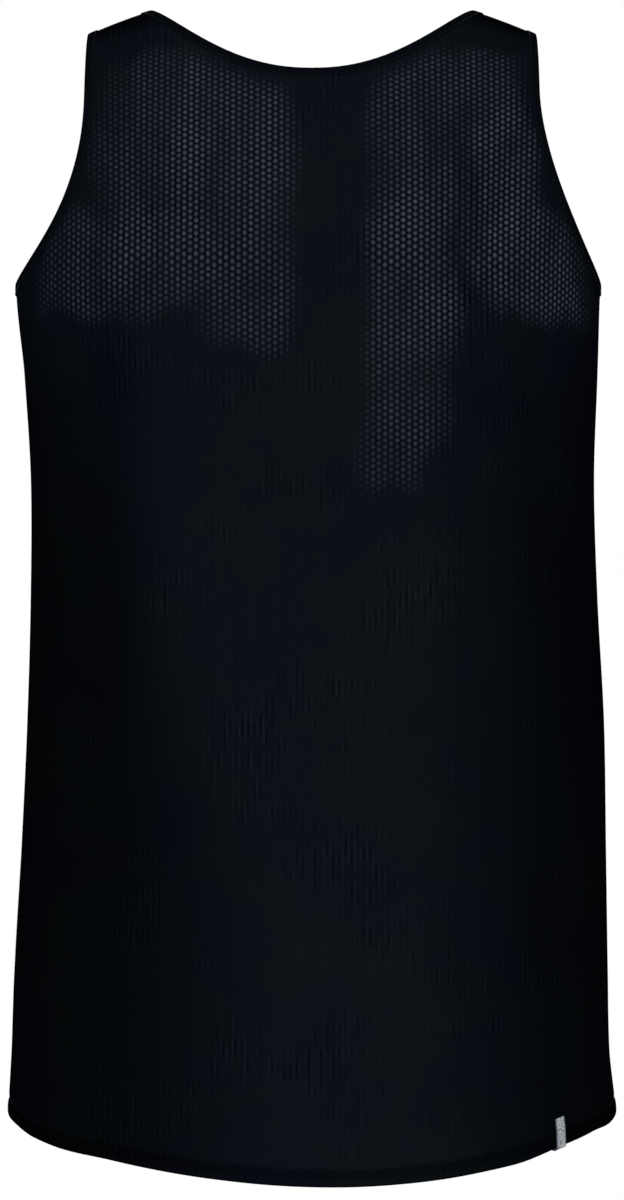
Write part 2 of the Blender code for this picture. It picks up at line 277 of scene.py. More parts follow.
SECTIONS = (
    Section(0.060, 0.1760, 0.1760, 0.1100, 0.1060),
    Section(-0.040, 0.1760, 0.1760, 0.1120, 0.1060),
    Section(-0.110, 0.1765, 0.1755, 0.1140, 0.1120),
    Section(-0.170, 0.1770, 0.1725, 0.1150, 0.1200),
    Section(-0.215, 0.1725, 0.1710, 0.1130, 0.1240),
    Section(-0.280, 0.1685, 0.1690, 0.1080, 0.1220),
    Section(-0.350, 0.1685, 0.1710, 0.1060, 0.1180),
    Section(-0.425, 0.1705, 0.1750, 0.1080, 0.1170),
    Section(-0.500, 0.1740, 0.1760, 0.1130, 0.1190),
    Section(-0.570, 0.1780, 0.1770, 0.1180, 0.1220),
    Section(-0.622, 0.1798, 0.1780, 0.1215, 0.1240),
    Section(-0.660, 0.1820, 0.1822, 0.1240, 0.1255),
    Section(-0.720, 0.1840, 0.1840, 0.1270, 0.1275),
)

# The large folds hang from under the arms. The rest are the softer creases and ripples between them.
CREASES = {
    Facing.BACK: (
        Crease(-0.122, -0.130, -0.190, -0.560, 0.017, 0.0045),
        Crease(0.128, 0.146, -0.185, -0.430, 0.014, 0.0040),
        Crease(0.086, 0.114, -0.190, -0.400, 0.015, 0.0035),
        Crease(-0.112, -0.106, -0.440, -0.720, 0.024, 0.0034, 0.004),
        Crease(0.138, 0.142, -0.360, -0.700, 0.017, 0.0026, -0.004),
        Crease(-0.064, -0.058, -0.250, -0.500, 0.017, 0.0016, 0.005),
        Crease(-0.028, -0.022, -0.340, -0.560, 0.012, 0.0014, -0.003),
        Crease(0.030, 0.044, -0.260, -0.470, 0.017, 0.0015, 0.004),
        Crease(0.058, 0.070, -0.430, -0.640, 0.020, -0.0016, 0.003),
        Crease(-0.050, -0.058, -0.540, -0.720, 0.015, 0.0016, 0.002),
        Crease(0.010, 0.014, -0.560, -0.720, 0.018, 0.0013, -0.003),
        Crease(0.094, 0.100, -0.520, -0.720, 0.014, 0.0018, 0.003),
        Crease(-0.120, -0.074, -0.062, -0.215, 0.011, 0.0015, -0.006),
        Crease(0.120, 0.080, -0.070, -0.220, 0.011, 0.0017, 0.006),
        Crease(-0.158, -0.112, -0.175, -0.265, 0.010, 0.0016),
        Crease(0.156, 0.118, -0.170, -0.250, 0.010, 0.0015),
    ),
    Facing.FRONT: (
        Crease(-0.096, -0.118, -0.190, -0.470, 0.016, 0.0040),
        Crease(0.112, 0.131, -0.200, -0.520, 0.016, 0.0045),
        Crease(0.058, 0.074, -0.240, -0.420, 0.015, 0.0030),
        Crease(-0.132, -0.140, -0.380, -0.700, 0.018, 0.0030, -0.004),
        Crease(0.122, 0.118, -0.450, -0.700, 0.022, 0.0030, 0.004),
        Crease(-0.052, -0.062, -0.260, -0.520, 0.018, 0.0020, 0.005),
        Crease(0.006, 0.016, -0.300, -0.560, 0.018, 0.0016, -0.004),
        Crease(-0.090, -0.078, -0.520, -0.710, 0.016, 0.0018, 0.003),
        Crease(0.052, 0.048, -0.530, -0.710, 0.016, 0.0016, -0.002),
        Crease(-0.014, -0.020, -0.560, -0.710, 0.015, 0.0014, 0.002),
        Crease(-0.122, -0.070, -0.080, -0.225, 0.012, 0.0018, -0.006),
        Crease(0.121, 0.072, -0.085, -0.230, 0.012, 0.0018, 0.006),
        Crease(-0.156, -0.112, -0.178, -0.262, 0.010, 0.0016),
        Crease(0.156, 0.114, -0.176, -0.260, 0.010, 0.0016),
    ),
}

# The cloth's faint unevenness: in each pair, the first wave is broken up by the second.
RIPPLES = (
    (Wave(1.0, 61, 9, 2.1), Wave(1.0, 23, 17, 0.7)),
    (Wave(0.6, 131, -13, 4.2), Wave(1.0, -11, 29)),
)

# Patches where the eyelets are painted with light, a painted highlight.
PATCHES = {
    Facing.BACK: (
        Patch(-0.0478, -0.0950, 0.0336, 0.0700, 0.84),
        Patch(-0.0940, -0.0940, 0.0300, 0.0600, 0.68),
        Patch(-0.1299, -0.1600, 0.0340, 0.0270, 0.60),
        Patch(-0.0371, -0.1780, 0.0255, 0.0280, 0.62),
        Patch(-0.0853, -0.1530, 0.0360, 0.0270, 0.68),
        Patch(0.0608, -0.0917, 0.0250, 0.0620, 0.70),
        Patch(0.0594, -0.1640, 0.0245, 0.0480, 0.82),
        Patch(0.0560, -0.2220, 0.0225, 0.0400, 0.52),
        Patch(0.0465, -0.2640, 0.0180, 0.0260, 0.40),
        Patch(0.1075, -0.1149, 0.0235, 0.0460, 1.12),
        Patch(0.1351, -0.1600, 0.0330, 0.0290, 1.00),
        Patch(0.0980, -0.0530, 0.0330, 0.0250, 0.64),
    ),
    Facing.FRONT: (
        Patch(-0.0960, -0.1300, 0.0340, 0.0660, 0.55),
        Patch(-0.1250, -0.1620, 0.0320, 0.0280, 0.50),
        Patch(0.0920, -0.1380, 0.0380, 0.0720, 0.60),
        Patch(0.0400, -0.2000, 0.0240, 0.0440, 0.45),
        Patch(0.1280, -0.1600, 0.0320, 0.0290, 0.52),
    ),
}
# Painted shade: patches where less painted light shows in the eyelets.
SHADES = {
    Facing.BACK: (
        Patch(0.0899, -0.1294, 0.0080, 0.0400, 0.60),
        Patch(0.1293, -0.0453, 0.0120, 0.0150, 0.50),
        Patch(-0.1190, -0.0600, 0.0140, 0.0300, 0.55),
        Patch(-0.0940, -0.1120, 0.0085, 0.0130, 0.40),
        Patch(-0.0545, -0.1207, 0.0045, 0.0350, 0.35),
        Patch(-0.1200, -0.1150, 0.0090, 0.0140, 0.35),
        Patch(0.0766, -0.0743, 0.0130, 0.0180, 0.42),
    ),
    Facing.FRONT: (
        Patch(0.0920, -0.1300, 0.0120, 0.0300, 0.50),
        Patch(-0.0960, -0.1120, 0.0140, 0.0200, 0.45),
    ),
}


@dataclass(frozen=True)
class Form:
    """The rounded tube on which the shirt hangs, with the edges of its cut."""

    top_half: float = 0.1760  # half width at shoulder height
    neck_half: float = 0.0970  # middle of the neck to the shoulder point beside it
    shoulder_half: float = 0.1340  # middle of the neck to the tip of the shoulder
    shoulder_fall: float = 0.0140  # how far the tip lies below the shoulder point
    dome_height: float = 0.1600  # height of the quarter ellipse over the shoulders
    dome_run: float = 0.2100  # run of cloth over that quarter ellipse
    ridge_run: float = 0.2000  # run over which the slope of the shoulders fades out
    underarm_z: float = -0.1650
    roundness: float = 2.4  # 2 is an ellipse, and more is squarer
    hem_side_z: float = -0.6590
    vent_top_z: float = -0.6220
    hem_fall_power: float = 2.05
    hem_waves: float = 2.6
    rise_in: Span = (0.64, 0.82)  # the hem's lift near a side seam, as shares of the half width
    rise_out: Span = (0.975, 0.905)
    step: float = 0.0005  # for slopes, metres of run or radians
    inset_steps: int = 4
    halvings: int = 40
    ripple: float = 0.0005  # height of the cloth's faint unevenness
    ripple_down: Span = (-0.10, -0.22)  # heights over which it starts
    ripple_clear: Span = (0.0, 0.03)  # and how far from the ridge and the side seams

    @property
    def neck_share(self) -> float:
        """The shoulder point, as a share of the half width."""
        return self.neck_half / self.top_half

    @property
    def tip_share(self) -> float:
        """The shoulder's tip, as a share of the half width."""
        return self.shoulder_half / self.top_half

    def section_value(self, z: float, column: str) -> float:
        """One column of SECTIONS at a height, on a Catmull-Rom curve through its rows."""
        last = len(SECTIONS) - 2
        row = next((i for i in range(last) if SECTIONS[i + 1].z <= z), last)
        upper, lower = SECTIONS[row], SECTIONS[row + 1]
        share = min(max((upper.z - z) / (upper.z - lower.z), 0.0), 1.0)
        before, start, end, after = (
            getattr(SECTIONS[min(max(i, 0), last + 1)], column) for i in range(row - 1, row + 3)
        )
        cubic = 3 * (start - end) + after - before
        square = 2 * before - 5 * start + 4 * end - after
        return start + share * (end - before + share * (square + share * cubic)) / 2

    def round_share(self, angle: float) -> Place:
        """How far across, and how far out, the unit section lies at an angle."""
        across, out = math.sin(angle), math.cos(angle)
        reach = (abs(across) ** self.roundness + abs(out) ** self.roundness) ** (-1 / self.roundness)
        return across * reach, out * reach

    def angle_of(self, share: float) -> float:
        """The angle at which the unit section lies this far across."""
        power = min(abs(share), 1.0) ** self.roundness
        root = 1 / self.roundness
        return math.copysign(math.atan2(power**root, (1 - power) ** root), share)

    def height(self, share: float, run: float) -> float:
        """Height of the form a run of cloth below the ridge, at a share of its half width."""
        run = abs(run)
        slope = self.shoulder_fall / (self.tip_share**2 - self.neck_share**2)
        if run < self.dome_run:
            drop = self.dome_height * (1 - math.cos(QUARTER * run / self.dome_run))
        else:
            drop = self.dome_height + run - self.dome_run
        return slope * (self.neck_share**2 - share**2) * (1 - ramp(run, 0.0, self.ridge_run)) - drop

    def run_at(self, share: float, z: float) -> float:
        """The run of cloth from the ridge down to a height."""
        low, high = 0.0, 1.0
        for _ in range(self.halvings):
            middle = (low + high) / 2
            if self.height(share, middle) > z:
                low = middle
            else:
                high = middle
        return (low + high) / 2

    def lean(self, run: float) -> float:
        """Share of the full depth that the form has reached at a run."""
        return math.sin(QUARTER * min(abs(run) / self.dome_run, 1.0))

    def point(self, side: Side, angle: float, run: float) -> Vector:
        """A point of the smooth form; a run below 0 or an angle past the seam is on the other side."""
        share, out = self.round_share(angle)
        facing = side.facing.value * math.copysign(1.0, run) * math.copysign(1.0, out)
        z = self.height(share, run)
        left, right = self.section_value(z, "left"), self.section_value(z, "right")
        depth = self.section_value(z, "back" if facing < 0 else "front")
        x = (left + right) / 2 * share + (right - left) / 2 * share**2
        return Vector((x, facing * depth * self.lean(run) * abs(out), z))

    def slopes(self, side: Side, angle: float, run: float) -> tuple[Vector, Vector]:
        """How the form runs with the angle and with the run of cloth."""
        step = self.step
        by_angle = self.point(side, angle + step, run) - self.point(side, angle - step, run)
        by_run = self.point(side, angle, run + step) - self.point(side, angle, run - step)
        return by_angle / (2 * step), by_run / (2 * step)

    def outward(self, side: Side, angle: float, run: float) -> Vector:
        """Unit normal of the form, pointing out of the shirt."""
        by_angle, by_run = self.slopes(side, angle, run)
        return by_angle.cross(by_run).normalized() * side.facing.value

    def crease_depth(self, point: Vector) -> float:
        """How far creases and ripples push the cloth in at a point."""
        facing = Facing.FRONT if point.y > 0 else Facing.BACK
        depth = sum(crease.depth_at(point) for crease in CREASES[facing])
        x, z = point.x, point.z
        waves = sum(main.at(x, z, facing.value) * broken.at(x, z) for main, broken in RIPPLES)
        still = ramp(z, *self.ripple_down) * ramp(abs(point.y), *self.ripple_clear)
        return depth + self.ripple * waves * still

    def cloth(self, side: Side, angle: float, run: float) -> tuple[Vector, Vector]:
        """A point on the outer face of the creased cloth, and the way out from it."""
        point, out = self.point(side, angle, run), self.outward(side, angle, run)
        return point - out * self.crease_depth(point), out

    # ---- the edges of the cut
    def neckline(self, side: Side, share: float) -> Place:
        """Place on the finished neckline, for -1 to 1 from the wearer's left to right."""
        across = math.sin(QUARTER * share)
        run = self.run_at(self.neck_share * across, side.neck_z(abs(across)))
        return self.angle_of(self.neck_share * across), run

    def armhole_edge(self, armhole: Armhole, share: float) -> Place:
        """Place on a finished armhole, for 0 to 1 from the shoulder's tip to under the arm."""
        rise = 1 - share
        sweep = max(1 - rise / armhole.flare, 0) ** armhole.bend
        across = self.tip_share + (1 - self.tip_share) * sweep
        z = self.underarm_z - (self.underarm_z + self.shoulder_fall) * rise
        return armhole.hand.value * self.angle_of(across), self.run_at(across, z)

    def hem_run(self, side: Side, angle: float) -> float:
        """Run of cloth to the hem's edge, which falls from the side seams to the middle."""
        out = abs(math.cos(angle))
        share = self.round_share(angle)[0]
        z = self.hem_side_z - side.hem_fall * out**self.hem_fall_power
        z -= side.hem_wave * out * math.sin(self.hem_waves * angle)
        rise = side.rise_left if share < 0 else side.rise_right
        rise *= ramp(abs(share), *self.rise_in) * ramp(abs(share), *self.rise_out)
        return self.run_at(share, z + rise)

    def inset(self, side: Side, places: Sequence[Place], distance: float) -> list[Place]:
        """Move an edge across the cloth. It starts and ends square to a seam.

        Args:
            side: the side of the shirt.
            places: the edge.
            distance: how far, in metres of cloth.

        Returns:
            The moved places.
        """
        moved = []
        for i, (angle, run) in enumerate(places):
            if i in (0, len(places) - 1):
                along = FORE_AND_AFT * (side.facing.value if i == 0 else -side.facing.value)
            else:
                along = self.point(side, *places[i + 1]) - self.point(side, *places[i - 1])
            across = along.cross(self.outward(side, angle, run)).normalized()
            across *= distance / self.inset_steps
            for _ in range(self.inset_steps):
                by_angle, by_run = self.slopes(side, angle, run)
                a, b, c = by_angle.dot(by_angle), by_angle.dot(by_run), by_run.dot(by_run)
                p, q = across.dot(by_angle), across.dot(by_run)
                angle += (p * c - q * b) / (a * c - b * b)
                run += (q * a - p * b) / (a * c - b * b)
            moved.append((angle, run))
        return moved


class Edge:
    """A cut edge on one side of the shirt, measured along the cloth."""

    SAMPLES = 220

    def __init__(self, form: Form, side: Side, curve: Callable[[float], Place], start: float) -> None:
        """Measure the edge.

        Args:
            form: the form that it lies on.
            side: the side of the shirt.
            curve: the edge's places, from start to 1.
            start: where the curve begins.
        """
        self.curve = curve
        self.shares = [start + (1 - start) * i / self.SAMPLES for i in range(self.SAMPLES + 1)]
        points = [form.point(side, *curve(share)) for share in self.shares]
        self.lengths = [0.0]
        for before, after in zip(points, points[1:]):
            self.lengths.append(self.lengths[-1] + (after - before).length)

    @property
    def length(self) -> float:
        """The whole edge, in metres of cloth."""
        return self.lengths[-1]

    def at(self, distance: float) -> Place:
        """The place this far along the edge."""
        after = next((n for n, far in enumerate(self.lengths) if far >= distance - 1e-9), self.SAMPLES)
        before = max(after - 1, 0)
        span = self.lengths[after] - self.lengths[before]
        part = (distance - self.lengths[before]) / span if span else 0.0
        return self.curve(self.shares[before] + (self.shares[after] - self.shares[before]) * part)


class Girth:
    """Distance round the cloth from the middle of a panel, from a table made once."""

    ANGLES = 96
    RATIOS = 16

    def __init__(self, form: Form) -> None:
        """Add up the unit section's length for each ratio of depth to half width."""
        self.form = form
        self.rows: list[list[float]] = []
        for ratio in range(self.RATIOS + 1):
            row, last = [0.0], (0.0, ratio / self.RATIOS)
            for i in range(1, self.ANGLES + 1):
                share, out = form.round_share(QUARTER * i / self.ANGLES)
                here = (share, out * ratio / self.RATIOS)
                row.append(row[-1] + math.dist(here, last))
                last = here
            self.rows.append(row)

    def at(self, side: Side, angle: float, run: float) -> float:
        """Distance from the middle of the panel, below 0 to the wearer's left."""
        form = self.form
        z = form.height(form.round_share(angle)[0], run)
        half = (form.section_value(z, "left") + form.section_value(z, "right")) / 2
        depth = form.section_value(z, side.depth) * form.lean(run)
        ratio = min(depth / half, 0.999) * self.RATIOS
        place = min(abs(angle) / QUARTER, NEARLY) * self.ANGLES
        return math.copysign(half * in_table(self.rows, ratio, place), angle)


class Fall:
    """How far down the flat cloth a point lies, in true length, from a table made once.

    Over the shoulders a step of the form's run isn't a step of cloth, so the knit's courses are
    laid by the length itself, counted up from where the form hangs straight.
    """

    ANGLES = 48
    RUNS = 40

    def __init__(self, form: Form) -> None:
        """Add up the length above the straight part for each panel and angle."""
        self.reach = form.ridge_run
        self.tables: dict[Side, list[list[float]]] = {BACK: [], FRONT: []}
        for side, table in self.tables.items():
            for i in range(self.ANGLES + 1):
                angle = QUARTER * (2 * i / self.ANGLES - 1)
                last, row = form.point(side, angle, self.reach), [self.reach]
                for j in reversed(range(self.RUNS)):
                    here = form.point(side, angle, self.reach * j / self.RUNS)
                    row.append(row[-1] - math.hypot(here.y - last.y, here.z - last.z))
                    last = here
                table.append(row[::-1])

    def at(self, side: Side, angle: float, run: float) -> float:
        """Distance down the cloth, the same as the run below the shoulders."""
        if run >= self.reach:
            return run
        place = min(max((angle / QUARTER + 1) / 2, 0.0), NEARLY) * self.ANGLES
        return in_table(self.tables[side], place, max(run / self.reach, 0.0) * self.RUNS)


@dataclass(frozen=True)
class Shading:
    """Painted light and shade on the knit by its place: glints painted in the eyelets, and painted shade on
    the black. A span is where a change starts and ends.
    """

    form: Form
    sways_x: tuple[Wave, ...] = (Wave(0.0020, 31, 95, 1.3),)  # unevenness of the patches' outlines
    sways_z: tuple[Wave, ...] = (Wave(0.0040, 70, 0, 2.1), Wave(0.0030, 190, 60))
    most: float = 1.2
    neck_clear: Span = (0.008, 0.020)  # how far below the neckline the patches start
    top: float = -0.017  # height below which they show on the straps
    top_drop: float = 0.010  # how much lower that is at the shoulder's tip
    top_tip: Span = (0.090, 0.105)
    top_fade: float = 0.010
    arm_spread: float = 0.30  # how far they spread out below the top of the armhole
    arm_top: float = -0.05
    arm_fade: float = 0.02

    # Painted shade on the black: darker at the sides, the shoulder ridge and the turned hem, with a painted
    # highlight along the hem's fold.
    low_body: Span = (-0.25, -0.55)
    left_edge: float = -0.128
    left_width: float = 0.045
    left_widening: float = 0.075  # more than that low on the body
    right_edge: Span = (0.045, 0.160)
    right_dip: float = 0.95
    side_low: float = 0.36  # the level the painted shade leaves at the sides low on the body, and what is added above
    side_more: float = 0.22
    side_rise: Span = (-0.36, -0.20)
    upper_tone: float = 0.85
    upper_rise: Span = (-0.24, -0.17)
    ridge_tone: float = 0.30
    ridge_run: Span = (0.030, 0.065)
    hem_tone: float = 0.55
    hem_top: Span = (0.0092, 0.0112)  # heights over the hem's edge
    hem_glow: float = 0.22  # the faint painted highlight along the hem's fold
    hem_glow_at: float = 0.0024
    hem_glow_reach: float = 0.0014

    def painted_glint(self, side: Side, point: Vector) -> float:
        """How much painted light the eyelets show: in soft patches, and not near an edge."""
        out = abs(point.x)
        x = point.x + sum(wave.at(point.x, point.z) for wave in self.sways_x)
        z = point.z + sum(wave.at(point.x, point.z) for wave in self.sways_z)
        value = sum(patch.at(x, z) ** Patch.POWER for patch in PATCHES[side.facing]) ** (1 / Patch.POWER)
        value = min(value, self.most)
        for shade in SHADES[side.facing]:
            value *= 1 - shade.at(x, z)
        across = min(out / self.form.neck_half, 1.0)
        value *= ramp(side.neck_z(across) - point.z, *self.neck_clear)
        top = self.top - self.top_drop * ramp(abs(x), *self.top_tip)
        edge = self.form.shoulder_half + self.arm_spread * max(self.arm_top - point.z, 0)
        return value * ramp(z, top, top - self.top_fade) * ramp(out, edge, edge - self.arm_fade)

    def tone(self, point: Vector, run: float, above: float) -> float:
        """How much of the black is left under painted shade: full in the middle, deep at the sides, the hem
        and the shoulders, with a painted highlight along the hem's fold.
        """
        width = self.left_width + self.left_widening * ramp(point.z, *self.low_body)
        from_left = ramp(point.x, self.left_edge, self.left_edge + width)
        from_right = 1 - self.right_dip * ramp(point.x, *self.right_edge)
        least = self.side_low + self.side_more * ramp(point.z, *self.side_rise)
        value = least + (1 - least) * from_left * from_right
        value += max(self.upper_tone - value, 0) * ramp(point.z, *self.upper_rise)
        value *= self.ridge_tone + (1 - self.ridge_tone) * ramp(run, *self.ridge_run)
        hem_shade = self.hem_tone + (1 - self.hem_tone) * ramp(above, *self.hem_top)
        painted_highlight = math.exp(-(((above - self.hem_glow_at) / self.hem_glow_reach) ** 2))
        return value * (hem_shade + self.hem_glow * painted_highlight)


# -------------------------------------------------------------------------------------- the finishes
class Graph:
    """A new material's node tree, with one short call for each kind of node in the finishes."""

    def __init__(self, name: str) -> None:
        """Start the material."""
        self.material = bpy.data.materials.new(name)
        self.material.use_nodes = True
        self.tree = self.material.node_tree
        self.shader = self.tree.nodes["Principled BSDF"]

    def attribute(self, name: str, output: str = "Fac") -> Socket:
        """Read one of the cloth's attributes."""
        return add_node(self.tree, "ShaderNodeAttribute", attribute_name=name).outputs[output]

    def place(self) -> Socket:
        """Read the Object coordinates."""
        return add_node(self.tree, "ShaderNodeTexCoord").outputs["Object"]

    def split(self, vector: Socket) -> Mapping[str, Socket]:
        """Take a vector apart into X, Y and Z."""
        return add_node(self.tree, "ShaderNodeSeparateXYZ", {0: vector}).outputs

    def number(self, operation: str, *values: Any) -> Socket:
        """Work out a number."""
        return add_node(self.tree, "ShaderNodeMath", dict(enumerate(values)), operation=operation).outputs[0]

    def vector(self, operation: str, *values: Any, **named: Any) -> Socket:
        """Work out a vector, or the length of one."""
        inputs = {**dict(enumerate(values)), **named}
        made = add_node(self.tree, "ShaderNodeVectorMath", inputs, operation=operation)
        return made.outputs["Value" if operation == "LENGTH" else 0]

    def wave(self, distance: Socket, pitch: float, operation: str = "SINE") -> Socket:
        """A wave that repeats once in each pitch."""
        return self.number(operation, self.number("MULTIPLY", distance, 2 * math.pi / pitch))

    def noise(self, vector: Socket, grain: Grain) -> Socket:
        """A noise of this grain."""
        inputs = {"Vector": vector, "Scale": grain[0], "Detail": grain[1], "Roughness": grain[2]}
        return add_node(self.tree, "ShaderNodeTexNoise", inputs).outputs["Fac"]

    def span(
        self, value: Socket, start: float, end: float, low: float = 0.0, high: float = 1.0, **settings: Any
    ) -> Socket:
        """Carry a number from one range to another, and hold it at the ends."""
        inputs = {"Value": value, "From Min": start, "From Max": end, "To Min": low, "To Max": high}
        return add_node(self.tree, "ShaderNodeMapRange", inputs, **settings).outputs["Result"]

    def mix(self, factor: Socket, first: Any, second: Any) -> Socket:
        """Mix two colours, each a socket or sRGB hex."""
        first, second = (linear(c) if isinstance(c, str) else c for c in (first, second))
        inputs = {"Factor": factor, 6: first, 7: second}
        return add_node(self.tree, "ShaderNodeMix", inputs, data_type="RGBA").outputs[2]

    def bump(self, height: Socket, strength: float, relief_mm: float) -> None:
        """Raise the surface by a height."""
        inputs = {"Height": height, "Strength": strength, "Distance": relief_mm / MM}
        made = add_node(self.tree, "ShaderNodeBump", inputs)
        self.tree.links.new(made.outputs["Normal"], self.shader.inputs["Normal"])

    def paint(self, colour: Socket, roughness: float, specular: Optional[float] = None) -> Material:
        """Give the shader its colour and its uniform values.

        Args:
            colour: the base colour.
            roughness: the same everywhere.
            specular: the same everywhere, or left as Blender has it.

        Returns:
            The material.
        """
        self.tree.links.new(colour, self.shader.inputs["Base Color"])
        self.shader.inputs["Roughness"].default_value = roughness
        if specular is not None:
            self.shader.inputs["Specular IOR Level"].default_value = specular
        return self.material


@dataclass(frozen=True)
class MeshKnit:
    """Black polyester mesh, warp knitted with a honeycomb of small eyelets.

    The yarn is matt and takes up nearly all the light. In soft patches the eyelets are painted
    as lit grey dots, a painted highlight, and elsewhere only the wales can just be told apart.
    """

    name: str = "black honeycomb mesh knit"
    yarn: str = "#0D1215"
    deep: str = "#0B0E17"
    # the colour of the painted glints, a painted highlight added onto the yarn
    lit: str = "#444A5A"
    wale_mm: float = 3.53  # between neighbouring columns of eyelets
    course_mm: float = 3.74  # between eyelets of one column
    eyelet_mm: float = 0.92  # half of an eyelet's width
    soft_mm: float = 0.55
    eyelet_dip: float = 0.16  # how much darker an eyelet is that catches no light
    glint_mm: float = 2.00  # how far the painted light round an eyelet's middle reaches
    glint_core_mm: float = 0.3
    glint_power: float = 1.5
    web_dip: float = 0.85  # how much darker the yarn is painted beside the painted glints
    roughness: float = 0.60
    specular: float = 0.0  # the loops scatter what they reflect, even at a grazing angle
    sheen_tint: str = "#D0ECFF"
    relief_mm: float = 0.35
    relief_strength: float = 0.55
    # Each grain is followed by the span of it that counts, and what that span becomes.
    broad: Grain = (0.014, 3.0, 0.55)
    wales_show: Sequence[float] = (0.46, 0.64, 0.0, 0.60)
    deep_shows: Sequence[float] = (0.40, 0.62)
    breaks: Grain = (0.27, 1.0, 0.5)
    breaks_show: Sequence[float] = (0.42, 0.62)
    breaks_drawn: float = 0.3  # drawn out down the cloth
    streaks: Grain = (0.060, 3.0, 0.55)
    streaks_show: Sequence[float] = (0.34, 0.62, 0.45, 1.0)
    streaks_drawn: float = 0.4
    specks: Grain = (0.30, 1.0, 0.5)
    specks_show: Sequence[float] = (0.32, 0.68, 0.62, 1.15)
    loops: Grain = (1.4, 2.0, 0.6)
    loop_height: float = 0.5

    def nearest_eyelet(self, graph: Graph, flat: Socket) -> Socket:
        """Distance to the nearest eyelet; two interleaved lattices of them make the honeycomb."""
        cell = (2 * self.wale_mm, self.course_mm)
        middle = (0.5, 0.5, 0.0)
        scaled = graph.vector("DIVIDE", flat, (*cell, 1.0))
        distances = []
        for shift in ((0.0, 0.0, 0.0), middle):
            part = graph.vector("FRACTION", graph.vector("ADD", scaled, shift))
            centred = graph.vector("SUBTRACT", part, middle)
            distances.append(graph.vector("LENGTH", graph.vector("MULTIPLY", centred, (*cell, 0.0))))
        return graph.number("MINIMUM", *distances)

    def ground(self, graph: Graph, flat: Socket) -> tuple[Socket, Socket]:
        """The yarn's colour, and how much the wales stand out as painted light and shade; both come and go
        over the cloth.
        """
        # Painted light and shade: the wales are drawn lighter on their crowns and darker between.
        wale = graph.wave(graph.split(flat)["X"], self.wale_mm, "COSINE")
        broad = graph.noise(flat, self.broad)
        where = graph.span(broad, *self.wales_show)
        drawn = graph.vector("MULTIPLY", flat, (1.0, self.breaks_drawn, 1.0))
        broken = graph.span(graph.noise(drawn, self.breaks), *self.breaks_show)
        tint = graph.span(broad.node.outputs["Color"], *self.deep_shows)
        shown = graph.number("MULTIPLY", wale, graph.number("MULTIPLY", where, broken))
        return graph.mix(tint, self.yarn, self.deep), shown

    def caught(self, graph: Graph, flat: Socket) -> Socket:
        """How much painted light the eyelets show: in streaks down the cloth, and a little uneven each."""
        drawn = graph.vector("MULTIPLY", flat, (1.0, self.streaks_drawn, 1.0))
        streak = graph.span(graph.noise(drawn, self.streaks), *self.streaks_show)
        speck = graph.span(graph.noise(flat, self.specks), *self.specks_show)
        return graph.number("MULTIPLY", graph.attribute(PAINTED_GLINT), graph.number("MULTIPLY", streak, speck))

    def make(self) -> Material:
        """Build the material."""
        graph = Graph(self.name)
        flat = graph.attribute(FLAT, "Vector")
        nearest = self.nearest_eyelet(graph, flat)
        rim = (self.eyelet_mm + self.soft_mm, self.eyelet_mm - self.soft_mm)
        hole = graph.span(nearest, *rim, interpolation_type="SMOOTHSTEP")
        near = graph.span(nearest, self.glint_mm, self.glint_core_mm)
        glint = graph.number("POWER", near, self.glint_power)
        caught = self.caught(graph, flat)
        yarn, wales = self.ground(graph, flat)

        # The yarn is darker in the eyelets and beside the painted glints, and is darkened by the painted
        # shade on the black.
        dips = graph.number("MULTIPLY", hole, self.eyelet_dip)
        web = graph.number("MULTIPLY_ADD", caught, self.web_dip, dips)
        level = graph.number("ADD", graph.number("SUBTRACT", 1.0, web), wales)
        cloth = graph.vector("SCALE", yarn, Scale=graph.number("MULTIPLY", level, graph.attribute(PAINTED_SHADING)))
        # Painted highlight: the eyelets' painted light is added onto the yarn's colour.
        painted_highlight = graph.vector("SCALE", linear(self.lit)[:3], Scale=graph.number("MULTIPLY", glint, caught))

        # Yarn round each eyelet stands proud, with a fine grain of loops.
        high = graph.number("SUBTRACT", 1.0, hole)
        height = graph.number("MULTIPLY_ADD", graph.noise(flat, self.loops), self.loop_height, high)
        graph.bump(height, self.relief_strength, self.relief_mm)
        graph.shader.inputs["Specular Tint"].default_value = linear(self.sheen_tint)
        return graph.paint(graph.vector("ADD", cloth, painted_highlight), self.roughness, self.specular)


@dataclass(frozen=True)
class BandKnit:
    """Black polyester interlock, a close smooth knit of fine ribs, folded over the edges."""

    name: str = "black band knit"
    yarn: str = "#090C11"
    # the grooves' colour: painted shade between the ribs
    groove: str = "#040608"
    rib_mm: float = 1.3  # drawn coarser than the real 0.9, which is too fine to show
    crown: Span = (-1.0, 0.4)  # the part of a rib's wave that rises to its crown
    fuzz: Grain = (1.1, 2.0, 0.6)
    wobble_mm: float = 0.35
    roughness: float = 0.95
    specular: float = 0.0
    relief_mm: float = 0.12
    relief_strength: float = 0.6

    def make(self) -> Material:
        """Build the material."""
        graph = Graph(self.name)
        flat = graph.attribute(FLAT, "Vector")
        fuzz = graph.noise(flat, self.fuzz)
        wobble = graph.number("MULTIPLY_ADD", fuzz, self.wobble_mm, graph.split(flat)["X"])
        crown = graph.span(graph.wave(wobble, self.rib_mm), *self.crown)
        graph.bump(crown, self.relief_strength, self.relief_mm)
        # Painted shade: the grooves between the ribs are coloured darker than the crowns.
        return graph.paint(graph.mix(crown, self.groove, self.yarn), self.roughness, self.specular)


